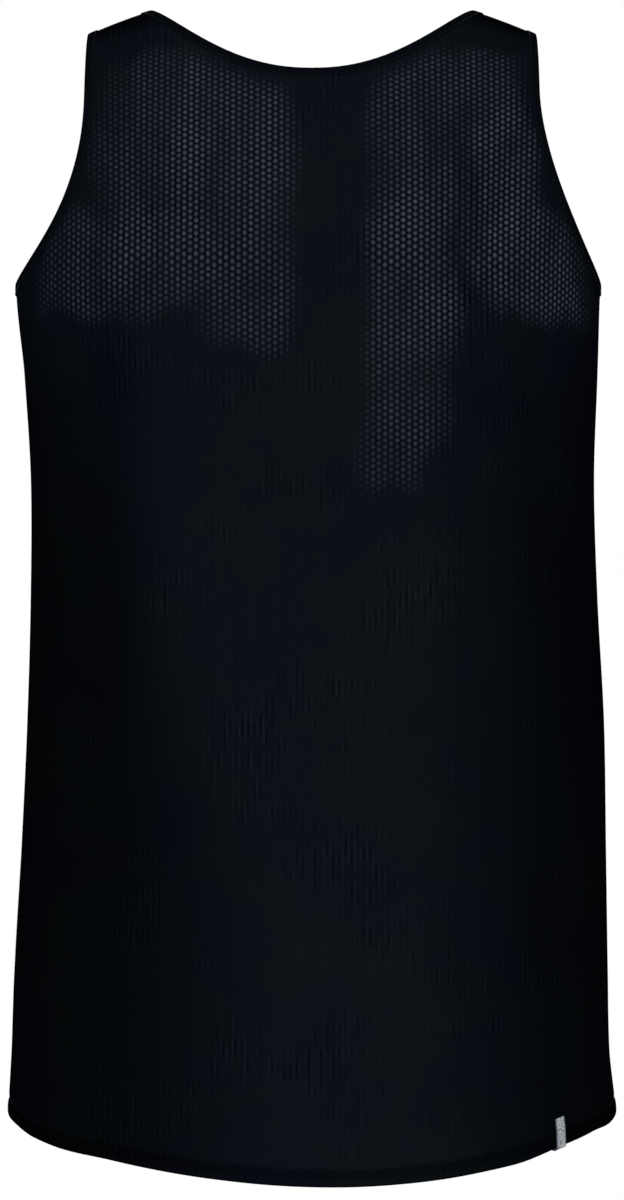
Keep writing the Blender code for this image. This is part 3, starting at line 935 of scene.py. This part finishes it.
@dataclass(frozen=True)
class WovenRibbon:
    """Grey polyester ribbon, woven close with fine cross ribs and heat-cut edges, faintly shiny."""

    name: str = "grey woven ribbon"
    weft: str = "#A0A2AA"
    warp: str = "#3E4048"
    edge: str = "#494B53"
    rib_mm: float = 0.9
    end_share: float = 0.8  # the warp ends' pitch, as a share of the ribs'
    end_height: float = 0.4
    rise: Span = (-1.2, 1.0)
    fleck_mm: float = 1.4  # the weave's light and dark picks, unevenly spread
    flecks_show: Span = (0.36, 0.52)
    fleck_share: float = 0.75
    half_width_mm: float = 3.3
    edge_mm: Span = (0.9, 0.2)  # how far in from the edge the darker edge colour starts, and is full
    roughness: float = 0.5
    relief_mm: float = 0.12
    relief_strength: float = 0.5

    def make(self) -> Material:
        """Build the material."""
        graph = Graph(self.name)
        flat = graph.attribute(FLAT, "Vector")
        axes = graph.split(flat)
        ribs, ends = graph.wave(axes["Y"], self.rib_mm), graph.wave(axes["X"], self.rib_mm * self.end_share)
        rise = graph.span(graph.number("MULTIPLY_ADD", ends, self.end_height, ribs), *self.rise)
        flecks = graph.span(graph.noise(flat, (1 / self.fleck_mm, 1.0, 0.5)), *self.flecks_show)
        inputs = {"Factor": self.fleck_share, 2: rise, 3: flecks}
        woven = add_node(graph.tree, "ShaderNodeMix", inputs, data_type="FLOAT").outputs[0]
        limits = (self.half_width_mm - inset for inset in self.edge_mm)
        near = graph.span(graph.number("ABSOLUTE", axes["X"]), *limits)
        graph.bump(rise, self.relief_strength, self.relief_mm)
        return graph.paint(graph.mix(near, graph.mix(woven, self.warp, self.weft), self.edge), self.roughness)


@dataclass(frozen=True)
class Thread:
    """Spun polyester sewing thread, two plies twisted together."""

    name: str
    ply: str
    # the colour between the plies: painted shade in the twist's grooves
    gap: str
    twist_mm: float = 0.5
    bands: float = 20.0  # about how many the wave texture has in each unit
    distortion: float = 1.5
    roughness: float = 0.7
    specular: float = 0.05

    def make(self) -> Material:
        """Build the material."""
        graph = Graph(self.name)
        scale = MM / self.twist_mm / self.bands
        inputs = {"Vector": graph.place(), "Scale": scale, "Distortion": self.distortion, "Detail": 1.0}
        plies = add_node(graph.tree, "ShaderNodeTexWave", inputs, bands_direction="DIAGONAL").outputs["Fac"]
        # Painted shade: the grooves between the plies are coloured darker.
        return graph.paint(graph.mix(plies, self.gap, self.ply), self.roughness, self.specular)


@dataclass(frozen=True)
class PaleFloor:
    """Matt white board under the shirt, which runs out into the white round it."""

    name: str = "matt white floor"
    paint: str = "#F2F2F2"
    shade: str = "#EFEFEF"
    grain: Grain = (40.0, 2.0, 0.5)
    clear: float = 0.38  # metres from the middle where it starts to run out
    gone: float = 0.66
    roughness: float = 0.9

    def make(self) -> Material:
        """Build the material."""
        graph = Graph(self.name)
        place = graph.place()
        colour = graph.mix(graph.noise(place, self.grain), self.shade, self.paint)
        made = graph.paint(colour, self.roughness)
        far = graph.vector("LENGTH", graph.vector("MULTIPLY", place, (1.0, 1.0, 0.0)))
        share = graph.span(far, self.clear, self.gone, interpolation_type="SMOOTHSTEP")
        white = add_node(graph.tree, "ShaderNodeEmission", {"Color": WHITE, "Strength": 1.0})
        inputs = {0: share, 1: graph.shader.outputs[0], 2: white.outputs[0]}
        mixed = add_node(graph.tree, "ShaderNodeMixShader", inputs)
        graph.tree.links.new(mixed.outputs[0], graph.tree.nodes["Material Output"].inputs["Surface"])
        return made


# -------------------------------------------------------------------------------- making the pieces
@dataclass(frozen=True)
class Spot:
    """Where one grid point of a piece goes: on its outer face, on its inner face, and in the flat."""

    outer: Vector
    inner: Vector
    across_mm: float
    along_mm: float
    # how much painted light the eyelets show
    painted_glint: float = 0.0
    # painted shade on the black, 1 where there is none
    tone: float = 1.0


class Maker:
    """Makes pieces of cloth from grids, and gives each its finish and its place in the frame."""

    SHARP = math.radians(50)

    def __init__(self, form: Form) -> None:
        """Keep the form that the pieces lie on, and make its tables."""
        self.form = form
        self.girth, self.fall, self.shading = Girth(form), Fall(form), Shading(form)

    def finish(self, bm: Mesh, name: str, material: Material, node: str = "") -> Object:
        """Turn a bmesh into a named piece on the part's one body.

        Args:
            bm: the shape, which is freed.
            name: the piece's name.
            material: its finish.
            node: the solid that it stands for, if it does for one.

        Returns:
            The piece.
        """
        piece = add_mesh(bm, name, material)
        piece.data.shade_smooth()
        piece.data.set_sharp_from_angle(angle=self.SHARP)
        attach(piece, "root")
        if node:
            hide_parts(node)
        return piece

    def shell(
        self,
        columns: int,
        rows: int,
        lay: Callable[[int, int], Spot],
        kept: Optional[Callable[[float, float], bool]] = None,
    ) -> Mesh:
        """Make a thin closed shell from a grid.

        Args:
            columns: cells across.
            rows: cells down.
            lay: where a grid point goes.
            kept: whether there is cloth at a cell's middle; everywhere if it isn't given.

        Returns:
            The shell, with an inner and an outer face and a rim.
        """
        bm = bmesh.new()
        bmesh.ops.create_grid(bm, x_segments=columns, y_segments=rows, size=1)
        if kept:
            middles = [(face, face.calc_center_median()) for face in bm.faces]
            gone = [f for f, m in middles if not kept((m.x + 1) / 2 * columns, (1 - m.y) / 2 * rows)]
            bmesh.ops.delete(bm, geom=gone, context="FACES")
        number = bm.verts.layers.int.new("spot")
        flat = bm.verts.layers.float_vector.new(FLAT)
        # Attributes that carry the eyelets' painted light and the painted shade on the black.
        painted_glint, tone = bm.verts.layers.float.new(PAINTED_GLINT), bm.verts.layers.float.new(PAINTED_SHADING)
        spots = []
        for vert in bm.verts:
            spot = lay(round((vert.co.x + 1) / 2 * columns), round((1 - vert.co.y) / 2 * rows))
            vert[number] = len(spots)
            vert[flat] = (spot.across_mm, spot.along_mm, 0.0)
            vert[painted_glint], vert[tone] = spot.painted_glint, spot.tone
            vert.co = spot.outer
            spots.append(spot)
        bmesh.ops.remove_doubles(bm, verts=bm.verts, dist=WELD)
        grown = bmesh.ops.extrude_face_region(bm, geom=bm.faces, use_keep_orig=True)["geom"]
        for vert in grown:
            if isinstance(vert, bmesh.types.BMVert):
                vert.co = spots[vert[number]].inner
        bmesh.ops.recalc_face_normals(bm, faces=bm.faces)
        return bm

    def stitches(self, line: Line, length: float, gap: float, thickness: float) -> Mesh:
        """Make a row of sewn stitches along a line.

        Args:
            line: the line.
            length: one stitch.
            gap: between stitches.
            thickness: of the thread.

        Returns:
            The stitches, as small closed grains.
        """
        bm = bmesh.new()
        size = Matrix.Diagonal((length / 2, thickness / 2, thickness / 2, 1.0))
        grain = size @ Matrix.Rotation(QUARTER, 4, "Y")
        walked, due = 0.0, gap
        for (start, out), (end, _) in zip(line, line[1:]):
            span = (end - start).length
            along = (end - start).normalized()
            while due <= walked + span:
                across = out.cross(along).normalized()
                turn = Matrix((along, across, along.cross(across).normalized())).transposed().to_4x4()
                place = Matrix.Translation(start + along * (due - walked))
                bmesh.ops.create_uvsphere(
                    bm, u_segments=6, v_segments=4, radius=1.0, matrix=place @ turn @ grain
                )
                due += length + gap
            walked += span
        bmesh.ops.recalc_face_normals(bm, faces=bm.faces)
        return bm


@dataclass(frozen=True)
class Panel:
    """Front or back: cut with the straps, hollowed for neck and arms, with a turned hem."""

    maker: Maker
    side: Side
    wall: float = 0.0012
    under_band: float = 0.0059  # how far the raw edge lies from the finished one, inside the band
    strap_reach: float = 0.1650  # length of the armhole's upright part
    neck_rows: int = 20
    neck_columns: int = 44
    strap_columns: int = 10
    strap_rows: int = 36
    side_columns: int = 30
    body_rows: int = 128
    row_ease: float = 1.4  # rows draw together toward the shoulder seam
    column_ease: float = 1.5  # columns draw together toward the side seam
    seam_hug: float = 8.0
    seam_gap: float = 0.00004
    groove: float = 0.0006  # depth of the dip along a seam, which runs out at the bands
    groove_reach: float = 0.0026
    groove_clear: Span = (0.005, 0.025)
    # The turned hem, from above its stitch line down to its edge: the height over the edge, how far
    # the outer face stands out, and the wall.
    hem_rows: Sequence[tuple[float, float, float]] = (
        (0.0132, 0.00000, 0.0012),
        (0.0114, -0.00010, 0.0013),
        (0.0104, -0.00036, 0.0014),
        (0.0098, -0.00050, 0.0014),
        (0.0092, -0.00032, 0.0017),
        (0.0082, 0.00010, 0.0022),
        (0.0066, 0.00035, 0.0025),
        (0.0044, 0.00038, 0.0026),
        (0.0024, 0.00030, 0.0025),
        (0.0010, 0.00008, 0.0021),
        (0.0003, -0.00025, 0.0015),
        (0.0000, -0.00070, 0.0007),
    )
    hem_clear: float = 0.002  # between the last row of the body and the first of these
    hem_stitched: int = 3  # the one of these that the stitches lie along
    hem_steps: int = 420  # along the line of its stitches
    hem_ends: float = 0.008  # how far that line ends from the side edges, in radians
    stitch_sink: float = 0.0006

    def strap_distance(self, row: int) -> float:
        """How far a row lies from the shoulder seam, along an edge of the strap."""
        return self.strap_reach * (row / self.strap_rows) ** self.row_ease

    def neck_places(self) -> list[Place]:
        """The raw neckline, from the wearer's left to right."""
        form, side = self.maker.form, self.side
        edge = Edge(form, side, partial(form.neckline, side), -1.0)
        down = [self.strap_distance(row) for row in range(self.neck_rows + 1)]
        lower = edge.length - 2 * down[-1]
        curve = [down[-1] + lower * i / self.neck_columns for i in range(1, self.neck_columns)]
        places = [edge.at(far) for far in down + curve + [edge.length - far for far in reversed(down)]]
        return form.inset(side, places, -self.under_band * side.facing.value)

    def armhole_places(self, armhole: Armhole) -> list[Place]:
        """The raw armhole, from the shoulder to under the arm."""
        form, side = self.maker.form, self.side
        edge = Edge(form, side, partial(form.armhole_edge, armhole), 0.0)
        down = [self.strap_distance(row) for row in range(self.strap_rows + 1)]
        sweep = edge.length - down[-1]
        for i in range(1, self.side_columns + 1):
            down.append(down[self.strap_rows] + sweep * (1 - (1 - i / self.side_columns) ** self.column_ease))
        distance = -self.under_band * side.facing.value * armhole.hand.value
        return form.inset(side, [edge.at(far) for far in down], distance)

    def seam_angle(self, hand: float, z: float) -> float:
        """Angle of the side edge: just short of the quarter turn, and more at the vent."""
        form, side = self.maker.form, self.side
        vent = side.vent_left if hand < 0 else side.vent_right
        opened = vent * ramp(z, form.vent_top_z, form.hem_side_z)
        return hand * (QUARTER - (self.seam_gap / 2 + opened) / form.section_value(z, side.depth))

    def lay(self, angle: float, run: float, stand: float, wall: float) -> Spot:
        """Lay one point of the cloth.

        Args:
            angle: round the form.
            run: down from the shoulder ridge.
            stand: how far the outer face stands out.
            wall: thickness there.

        Returns:
            The spot.
        """
        maker, form, side = self.maker, self.maker.form, self.side
        point, out = form.cloth(side, angle, run)
        seam = min((QUARTER - abs(angle)) * form.section_value(point.z, side.depth), run)
        clear = min(abs(abs(point.x) - form.neck_half), abs(abs(point.x) - form.shoulder_half))
        if run > self.strap_reach:
            clear = form.underarm_z - point.z
        dip = self.groove * math.exp(-((seam / self.groove_reach) ** 2)) * ramp(clear, *self.groove_clear)
        across, along = maker.girth.at(side, angle, run) * MM, maker.fall.at(side, angle, run) * MM
        # Painted shade on the black at this point, carried to the material as an attribute.
        tone = maker.shading.tone(point, run, form.hem_run(side, angle) - run)
        # The eyelets' painted light at this point, carried to the material as an attribute.
        painted_glint = maker.shading.painted_glint(side, point)
        return Spot(point + out * (stand - dip), point - out * wall, across, along, painted_glint, tone)

    def shape(self) -> Mesh:
        """Build the panel as one shell.

        Returns:
            The shell.
        """
        form, side = self.maker.form, self.side
        neck = self.neck_places()
        left, right = (self.armhole_places(armhole) for armhole in ARMHOLES)
        neck_end = self.strap_columns + self.neck_columns
        middle = neck_end + self.strap_columns
        columns = middle + 2 * self.side_columns
        body_end = self.strap_rows + self.body_rows

        def strap(column: int, row: int) -> Place:
            """Place on a strap, between the neckline and the armhole."""
            if column <= self.strap_columns:
                return between(left[row], neck[row], column / self.strap_columns)
            return between(neck[-1 - row], right[row], (column - neck_end) / self.strap_columns)

        def start_of(column: int) -> Place:
            """Where a column of the body begins, level with the armholes' sweep."""
            if column < 0:
                return left[self.strap_rows - column]
            if column > middle:
                return right[self.strap_rows + column - middle]
            share = column / middle
            from_left = (-left[self.strap_rows][0], left[self.strap_rows][1])
            reach, run = between(from_left, right[self.strap_rows], share)
            return (2 * share - 1) * reach, run

        def upper(column: int, row: int) -> Place:
            """Place above the armholes' sweep."""
            in_neck = self.strap_columns < column < neck_end
            if row <= self.neck_rows and not in_neck:
                return strap(column, row)
            if in_neck:
                top = neck[column + self.neck_rows - self.strap_columns]
            else:
                top = strap(column, self.neck_rows)
            down = (row - self.neck_rows) / (self.strap_rows - self.neck_rows)
            out = 2 * column / middle - 1
            edge = left if out < 0 else right
            straight = between(edge[self.neck_rows], edge[self.strap_rows], down)
            angle, run = between(top, start_of(column), down)
            angle += (edge[row][0] - straight[0]) * abs(out)
            return angle, run + (edge[row][1] - straight[1]) * abs(out)

        def spot(column: int, row: int) -> Spot:
            """Where a grid point goes."""
            column = (columns - column if side is FRONT else column) - self.side_columns
            if row < self.strap_rows or (row == self.strap_rows and 0 <= column <= middle):
                angle, run = upper(column, row)
                return self.lay(angle, max(run, self.seam_gap / 2), 0.0, self.wall)
            angle, start = start_of(column)
            down = min((row - self.strap_rows) / self.body_rows, 1.0)
            z = form.height(form.round_share(angle)[0], start) * (1 - down) + form.hem_side_z * down
            seam = self.seam_angle(math.copysign(1, angle), z)
            angle -= math.copysign(QUARTER - abs(seam), angle) * abs(angle / QUARTER) ** self.seam_hug
            edge = form.hem_run(side, angle)
            if row > body_end:
                above, stand, wall = self.hem_rows[row - body_end - 1]
                return self.lay(angle, edge - above, stand, wall)
            last = edge - self.hem_rows[0][0] - self.hem_clear
            return self.lay(angle, start + (last - start) * down, 0.0, self.wall)

        def kept(column: float, row: float) -> bool:
            """Whether there is cloth here: none beside the straps, and none in the neck."""
            out = abs(column - columns / 2)
            if out > middle / 2:
                return row > self.strap_rows
            return row > (self.neck_rows if out < self.neck_columns / 2 else 0)

        return self.maker.shell(columns, body_end + len(self.hem_rows), spot, kept)

    def hem_line(self) -> Line:
        """Points along the line where the hem is stitched."""
        form, side = self.maker.form, self.side
        reach = abs(self.seam_angle(1.0, form.hem_side_z)) - self.hem_ends
        above = self.hem_rows[self.hem_stitched][0]
        line = []
        for i in range(self.hem_steps + 1):
            angle = -reach + 2 * reach * i / self.hem_steps
            point, out = form.cloth(side, angle, form.hem_run(side, angle) - above)
            line.append((point - out * self.stitch_sink, out))
        return line


@dataclass(frozen=True)
class Opening:
    """The finished edge round one of the shirt's openings."""

    curves: Mapping[Side, Callable[[float], Place]]
    start: float  # where the curves begin; they end at 1
    hand: float  # 1, or -1 where the cloth lies to the other hand of the curves


@dataclass(frozen=True)
class Band:
    """A folded strip of close knit round an opening, whose seam takes in the panels' raw edges."""

    maker: Maker
    width: float = 0.0067
    stations: int = 60  # on each side of the shirt
    # Round the strip's section: how far in from the finished edge as a share of the width, and how
    # far the point stands out from the middle of the wall, in metres.
    section: Sequence[tuple[float, float]] = (
        (0.00, 0.00000),
        (0.01, 0.00080),
        (0.06, 0.00110),
        (0.30, 0.00124),
        (0.55, 0.00126),
        (0.78, 0.00112),
        (0.92, 0.00086),
        (0.99, 0.00055),
        (1.00, 0.00000),
        (0.97, -0.00060),
        (0.80, -0.00092),
        (0.50, -0.00098),
        (0.20, -0.00092),
        (0.04, -0.00062),
    )
    wall: float = 0.0012
    seam: tuple[float, float] = (0.80, 0.00124)  # where its stitches lie, measured the same way
    seam_stations: int = 150

    def ring(self, opening: Opening) -> list[list[tuple[Vector, Vector, float]]]:
        """Lay the strip's section round the opening.

        Args:
            opening: the opening.

        Returns:
            For each point of the section, a closed list of a point, the way out, and the distance
            round the opening.
        """
        form = self.maker.form
        rings: list[list[tuple[Vector, Vector, float]]] = [[] for _ in self.section]
        walked = 0.0
        for side, curve in opening.curves.items():
            edge = Edge(form, side, curve, opening.start)
            places = [edge.at(edge.length * i / self.stations) for i in range(self.stations + 1)]
            laid = {}
            for share in sorted({share for share, _ in self.section}):
                distance = -share * self.width * side.facing.value * opening.hand
                laid[share] = form.inset(side, places, distance)
            order = range(self.stations) if side is BACK else range(self.stations, 0, -1)
            for step, i in enumerate(order):
                for ring, (share, stand) in zip(rings, self.section):
                    point, out = form.cloth(side, *laid[share][i])
                    far = walked + edge.length * step / self.stations
                    ring.append((point + out * (stand - self.wall / 2), out, far))
            walked += edge.length
        return [ring + [(ring[0][0], ring[0][1], walked)] for ring in rings]

    def shape(self, opening: Opening) -> Mesh:
        """Build the band as a closed ring.

        Args:
            opening: the opening that it goes round.

        Returns:
            The ring.
        """
        rings = self.ring(opening)
        around, count = len(rings[0]) - 1, len(self.section)
        bm = bmesh.new()
        bmesh.ops.create_grid(bm, x_segments=around, y_segments=count, size=1)
        flat = bm.verts.layers.float_vector.new(FLAT)
        for vert in bm.verts:
            turn = round((vert.co.y + 1) / 2 * count) % count
            point, _, far = rings[turn][round((vert.co.x + 1) / 2 * around)]
            vert[flat] = (far * MM, self.section[turn][0] * self.width * MM, 0.0)
            vert.co = point
        bmesh.ops.remove_doubles(bm, verts=bm.verts, dist=WELD)
        bmesh.ops.recalc_face_normals(bm, faces=bm.faces)
        return bm

    def seam_line(self, opening: Opening) -> Line:
        """Points round the opening where the band is stitched."""
        flat = replace(self, stations=self.seam_stations, section=(self.seam,))
        return [(point, out) for point, out, _ in flat.ring(opening)[0]]


@dataclass(frozen=True)
class SeamAllowance:
    """The trimmed allowance inside a side seam, and the tape inside a shoulder seam."""

    maker: Maker
    width: float = 0.0060
    wall: float = 0.0012
    thickness: float = 0.0011
    side_grid: tuple[int, int] = (6, 120)
    side_ends: tuple[float, float] = (0.008, 0.004)  # how far it ends below the arm and the vent's top
    past_seam: float = 0.0008
    gap: float = 0.0001  # between it and the panel
    curl: float = 0.00015
    curls: float = 900.0  # radians in each metre
    tape_grid: tuple[int, int] = (10, 6)
    tape_ends: float = 0.0072  # how far it ends from the finished edges
    tape_share: float = 0.7  # its width and thickness beside the allowance's
    tape_gap: float = 0.0002
    tape_column_mm: float = 2.0
    least_run: float = 1e-5

    def down_side(self, hand: Hand) -> Mesh:
        """Build the allowance of a side seam, pressed toward the back.

        Args:
            hand: which side seam.

        Returns:
            The shell.
        """
        form, (columns, rows) = self.maker.form, self.side_grid
        top = form.run_at(1.0, form.underarm_z - self.side_ends[0])
        bottom = form.run_at(1.0, form.vent_top_z - self.side_ends[1])

        def spot(column: int, row: int) -> Spot:
            """Where a grid point goes."""
            run = top + (bottom - top) * row / rows
            depth = form.section_value(form.height(1.0, run), "back")
            far = self.width * column / columns - self.past_seam
            point, out = form.cloth(BACK, hand.value * (QUARTER - far / depth), run)
            wave = self.curl * math.sin(run * self.curls + column)
            lift = self.wall + self.gap + wave * column / columns
            return Spot(point - out * lift, point - out * (lift + self.thickness), run * MM, far * MM)

        return self.maker.shell(columns, rows, spot)

    def over_shoulder(self, hand: Hand) -> Mesh:
        """Build the tape inside a shoulder seam.

        Args:
            hand: which shoulder.

        Returns:
            The shell.
        """
        form, (columns, rows) = self.maker.form, self.tape_grid
        first = form.angle_of((form.neck_half + self.tape_ends) / form.top_half)
        last = form.angle_of((form.shoulder_half - self.tape_ends) / form.top_half)

        def spot(column: int, row: int) -> Spot:
            """Where a grid point goes."""
            angle = hand.value * (first + (last - first) * column / columns)
            run = self.width * (2 * row / rows - 1) * self.tape_share
            point, out = form.cloth(BACK if run < 0 else FRONT, angle, max(abs(run), self.least_run))
            lift = self.wall + self.tape_gap
            inner = point - out * (lift + self.thickness * self.tape_share)
            return Spot(point - out * lift, inner, column * self.tape_column_mm, run * MM)

        return self.maker.shell(columns, rows, spot)


@dataclass(frozen=True)
class HemLabel:
    """A short bare ribbon folded round the hem's edge, one leg outside the cloth and one inside."""

    maker: Maker
    angle: float = math.radians(48.3)
    half_width: float = 0.0033
    leg: float = 0.0170
    wall: float = 0.0007
    hem_wall: float = 0.0020
    gap_outside: float = 0.0008
    gap_inside: float = 0.0010
    fold_share: float = 0.5  # how deep the fold hangs, beside a round one
    curl: float = 0.00022
    bow: float = 0.0003
    columns: int = 10
    leg_rows: int = 14
    fold_rows: int = 10
    tack_steps: int = 24
    tack_share: float = 0.92  # of the ribbon's width
    tack_below: float = 0.0016  # the ribbon's upper end
    tack_lift: float = 0.00008

    def angle_at(self, share: float) -> float:
        """Angle at a share of the half width from the label's middle."""
        form = self.maker.form
        per_angle = form.slopes(BACK, self.angle, form.hem_run(BACK, self.angle))[0].length
        return self.angle + share * self.half_width / per_angle

    def shape(self) -> Mesh:
        """Build the label as one shell.

        Returns:
            The shell.
        """
        form = self.maker.form
        reach = (self.hem_wall + self.gap_outside + self.gap_inside) / 2
        middle = reach - self.gap_outside

        def spot(column: int, row: int) -> Spot:
            """Where a grid point goes."""
            across = 2 * column / self.columns - 1
            angle = self.angle_at(across)
            edge = form.hem_run(BACK, angle)
            past = row - self.leg_rows - self.fold_rows
            along = 0.0
            if row <= self.leg_rows:
                up = 1 - row / self.leg_rows
                along = -self.leg * up
                point, out = form.cloth(BACK, angle, edge - self.leg * up)
                stand = reach - middle + self.curl * across**2 + self.bow * math.sin(math.pi * up)
                faces = [point + out * (stand + extra) for extra in (self.wall, 0.0)]
            elif past >= 0:
                along = self.leg * past / self.leg_rows
                point, out = form.cloth(BACK, angle, edge - along)
                faces = [point - out * (middle + reach + extra) for extra in (self.wall, 0.0)]
            else:
                turn = math.pi * (row - self.leg_rows) / self.fold_rows
                faces = []
                for radius in (reach + self.wall, reach):
                    below = edge + radius * self.fold_share * math.sin(turn)
                    point, out = form.cloth(BACK, angle, below)
                    faces.append(point - out * (middle - radius * math.cos(turn)))
            return Spot(faces[0], faces[1], across * self.half_width * MM, along * MM)

        return self.maker.shell(self.columns, 2 * self.leg_rows + self.fold_rows, spot)

    def stitch_line(self) -> Line:
        """Points across the label's upper end."""
        form, line = self.maker.form, []
        for i in range(self.tack_steps + 1):
            angle = self.angle_at((2 * i / self.tack_steps - 1) * self.tack_share)
            point, out = form.cloth(BACK, angle, form.hem_run(BACK, angle) - self.leg + self.tack_below)
            line.append((point + out * (self.gap_outside + self.wall + self.tack_lift), out))
        return line


# ------------------------------------------------------------------------------------------- studio
@dataclass(frozen=True)
class Lamp:
    """A soft square lamp aimed at the shirt."""

    name: str
    place: tuple[float, float, float]
    size: float
    watts: float


@dataclass(frozen=True)
class Studio:
    """Plain soft light, a pale floor and the camera."""

    target: tuple[float, float, float] = (0.0, 0.0, -0.3528)
    distance: float = 3.0
    lens: float = 150.0
    sensor: float = 36.0
    floor_z: float = -0.8200
    floor_half: float = 0.70
    fill: float = 0.16  # strength of the light from all round
    lamps: tuple[Lamp, ...] = (
        Lamp("key lamp", (-0.7, -3.2, 0.5), 1.4, 58.0),
        Lamp("second lamp", (0.8, -3.2, 0.2), 1.4, 42.0),
        Lamp("rear key lamp", (0.9, 3.2, 0.5), 1.4, 58.0),
        Lamp("rear second lamp", (-1.0, 3.1, 0.3), 1.4, 42.0),
        Lamp("left lamp", (-3.2, 0.0, 0.4), 1.6, 8.0),
        Lamp("right lamp", (3.2, 0.0, 0.4), 1.6, 8.0),
        Lamp("top lamp", (0.0, 0.0, 2.4), 1.4, 16.0),
    )

    def make(self) -> None:
        """Build the floor, the lamps, the world and the camera."""
        bm = bmesh.new()
        bmesh.ops.create_grid(bm, x_segments=8, y_segments=8, size=self.floor_half)
        bmesh.ops.translate(bm, verts=bm.verts, vec=(0.0, 0.0, self.floor_z))
        add_mesh(bm, "floor", PaleFloor().make())
        aim = Vector(self.target)
        for lamp in self.lamps:
            light = bpy.data.lights.new(lamp.name, "AREA")
            light.shape = "SQUARE"
            light.size = lamp.size
            light.energy = lamp.watts
            shown = add_object(lamp.name, light)
            shown.location = lamp.place
            shown.rotation_euler = (aim - shown.location).to_track_quat("-Z", "Y").to_euler()
        self.make_world()
        camera = bpy.data.cameras.new("camera")
        camera.sensor_fit = "VERTICAL"
        camera.sensor_height = self.sensor
        camera.lens = self.lens
        eye = add_object("camera", camera)
        eye.location = aim - FORE_AND_AFT * self.distance
        eye.rotation_euler = (QUARTER, 0.0, 0.0)
        bpy.context.scene.camera = eye
        bpy.context.scene.view_settings.view_transform = "Standard"

    def make_world(self) -> None:
        """Build the world: an even fill, which the camera and reflections see as white."""
        world = bpy.data.worlds.new("studio")
        world.use_nodes = True
        tree = world.node_tree
        tree.nodes.clear()
        rays = add_node(tree, "ShaderNodeLightPath").outputs
        seen = rays["Is Camera Ray"]
        for kind in ("Is Glossy Ray", "Is Transmission Ray"):
            seen = add_node(tree, "ShaderNodeMath", {0: seen, 1: rays[kind]}, operation="MAXIMUM").outputs[0]
        fill, white = (
            add_node(tree, "ShaderNodeBackground", {"Color": WHITE, "Strength": strength}).outputs[0]
            for strength in (self.fill, 1.0)
        )
        mixed = add_node(tree, "ShaderNodeMixShader", {0: seen, 1: fill, 2: white})
        add_node(tree, "ShaderNodeOutputWorld", {"Surface": mixed.outputs[0]})
        bpy.context.scene.world = world


# --------------------------------------------------------------------------------------------- shirt
@dataclass(frozen=True)
class Shirt:
    """The whole shirt: two panels, three bands, their seams and stitches, and the label."""

    form: Form = field(default_factory=Form)
    back_flat: Sequence[float] = (0.530, 0.760)  # the back's cut, width and length
    front_flat: Sequence[float] = (0.530, 0.740)
    back_area: float = 0.288
    front_area: float = 0.278
    seam: tuple[float, float, float] = (0.0024, 0.0009, 0.00042)  # stitch, gap and thread
    tack: tuple[float, float, float] = (0.0011, 0.0005, 0.0003)

    def openings(self) -> dict[str, Opening]:
        """The neck and the armholes, by the pattern of their pieces' names."""
        form = self.form
        neck = {side: partial(form.neckline, side) for side in (BACK, FRONT)}
        found = {"neck_{}": Opening(neck, -1.0, 1.0)}
        for armhole in ARMHOLES:
            curves = dict.fromkeys((BACK, FRONT), partial(form.armhole_edge, armhole))
            name = armhole.hand.name.lower()
            found["armhole_{}_" + name] = Opening(curves, 0.0, armhole.hand.value)
        return found

    def make(self) -> list[Object]:
        """Build every piece.

        Returns:
            The pieces.
        """
        maker = Maker(self.form)
        mesh_knit, band_knit, ribbon = MeshKnit().make(), BandKnit().make(), WovenRibbon().make()
        black_thread = Thread("black sewing thread", "#0E1218", "#050709").make()
        grey_thread = Thread("grey sewing thread", "#8E9099", "#5D5F67").make()

        back, front = Panel(maker, BACK), Panel(maker, FRONT)
        back_piece = maker.finish(back.shape(), "back_cloth", mesh_knit, "back_panel")
        front_piece = maker.finish(front.shape(), "front_cloth", mesh_knit, "front_panel")

        band, bands, lines = Band(maker), [], []
        for name, opening in self.openings().items():
            knit, node = name.format("binding"), name.format("band")
            bands.append(maker.finish(band.shape(opening), knit, band_knit, node))
            lines.append((name.format("stitches"), band.seam_line(opening), "band_knit"))
        lines.append(("back_hem_stitches", back.hem_line(), "mesh_knit"))
        lines.append(("front_hem_stitches", front.hem_line(), "mesh_knit"))
        sewn = [
            maker.finish(maker.stitches(line, *self.seam), name, black_thread)
            for name, line, slot in lines
        ]

        allowance, inside = SeamAllowance(maker), []
        shapes = {"side_seam": allowance.down_side, "shoulder_tape": allowance.over_shoulder}
        for hand in Hand:
            for name, shape in shapes.items():
                name = f"{name}_{hand.name.lower()}"
                inside.append(maker.finish(shape(hand), name, band_knit))

        label = HemLabel(maker)
        ribbon_piece = maker.finish(label.shape(), "label_ribbon", ribbon, "hem_label")
        tacked = maker.stitches(label.stitch_line(), *self.tack)
        tack_piece = maker.finish(tacked, "label_stitches", grey_thread)

        return [back_piece, front_piece, *bands, *sewn, *inside, ribbon_piece, tack_piece]


def main() -> None:
    """Load the frame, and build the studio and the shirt."""
    logging.basicConfig(level=logging.INFO, format="%(name)s: %(message)s")
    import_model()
    Studio().make()
    for piece in Shirt().make():
        triangles = sum(len(face.vertices) - 2 for face in piece.data.polygons)
        LOG.info("%s: %d triangles", piece.name, triangles)
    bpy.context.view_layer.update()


if __name__ == "__main__":
    main()
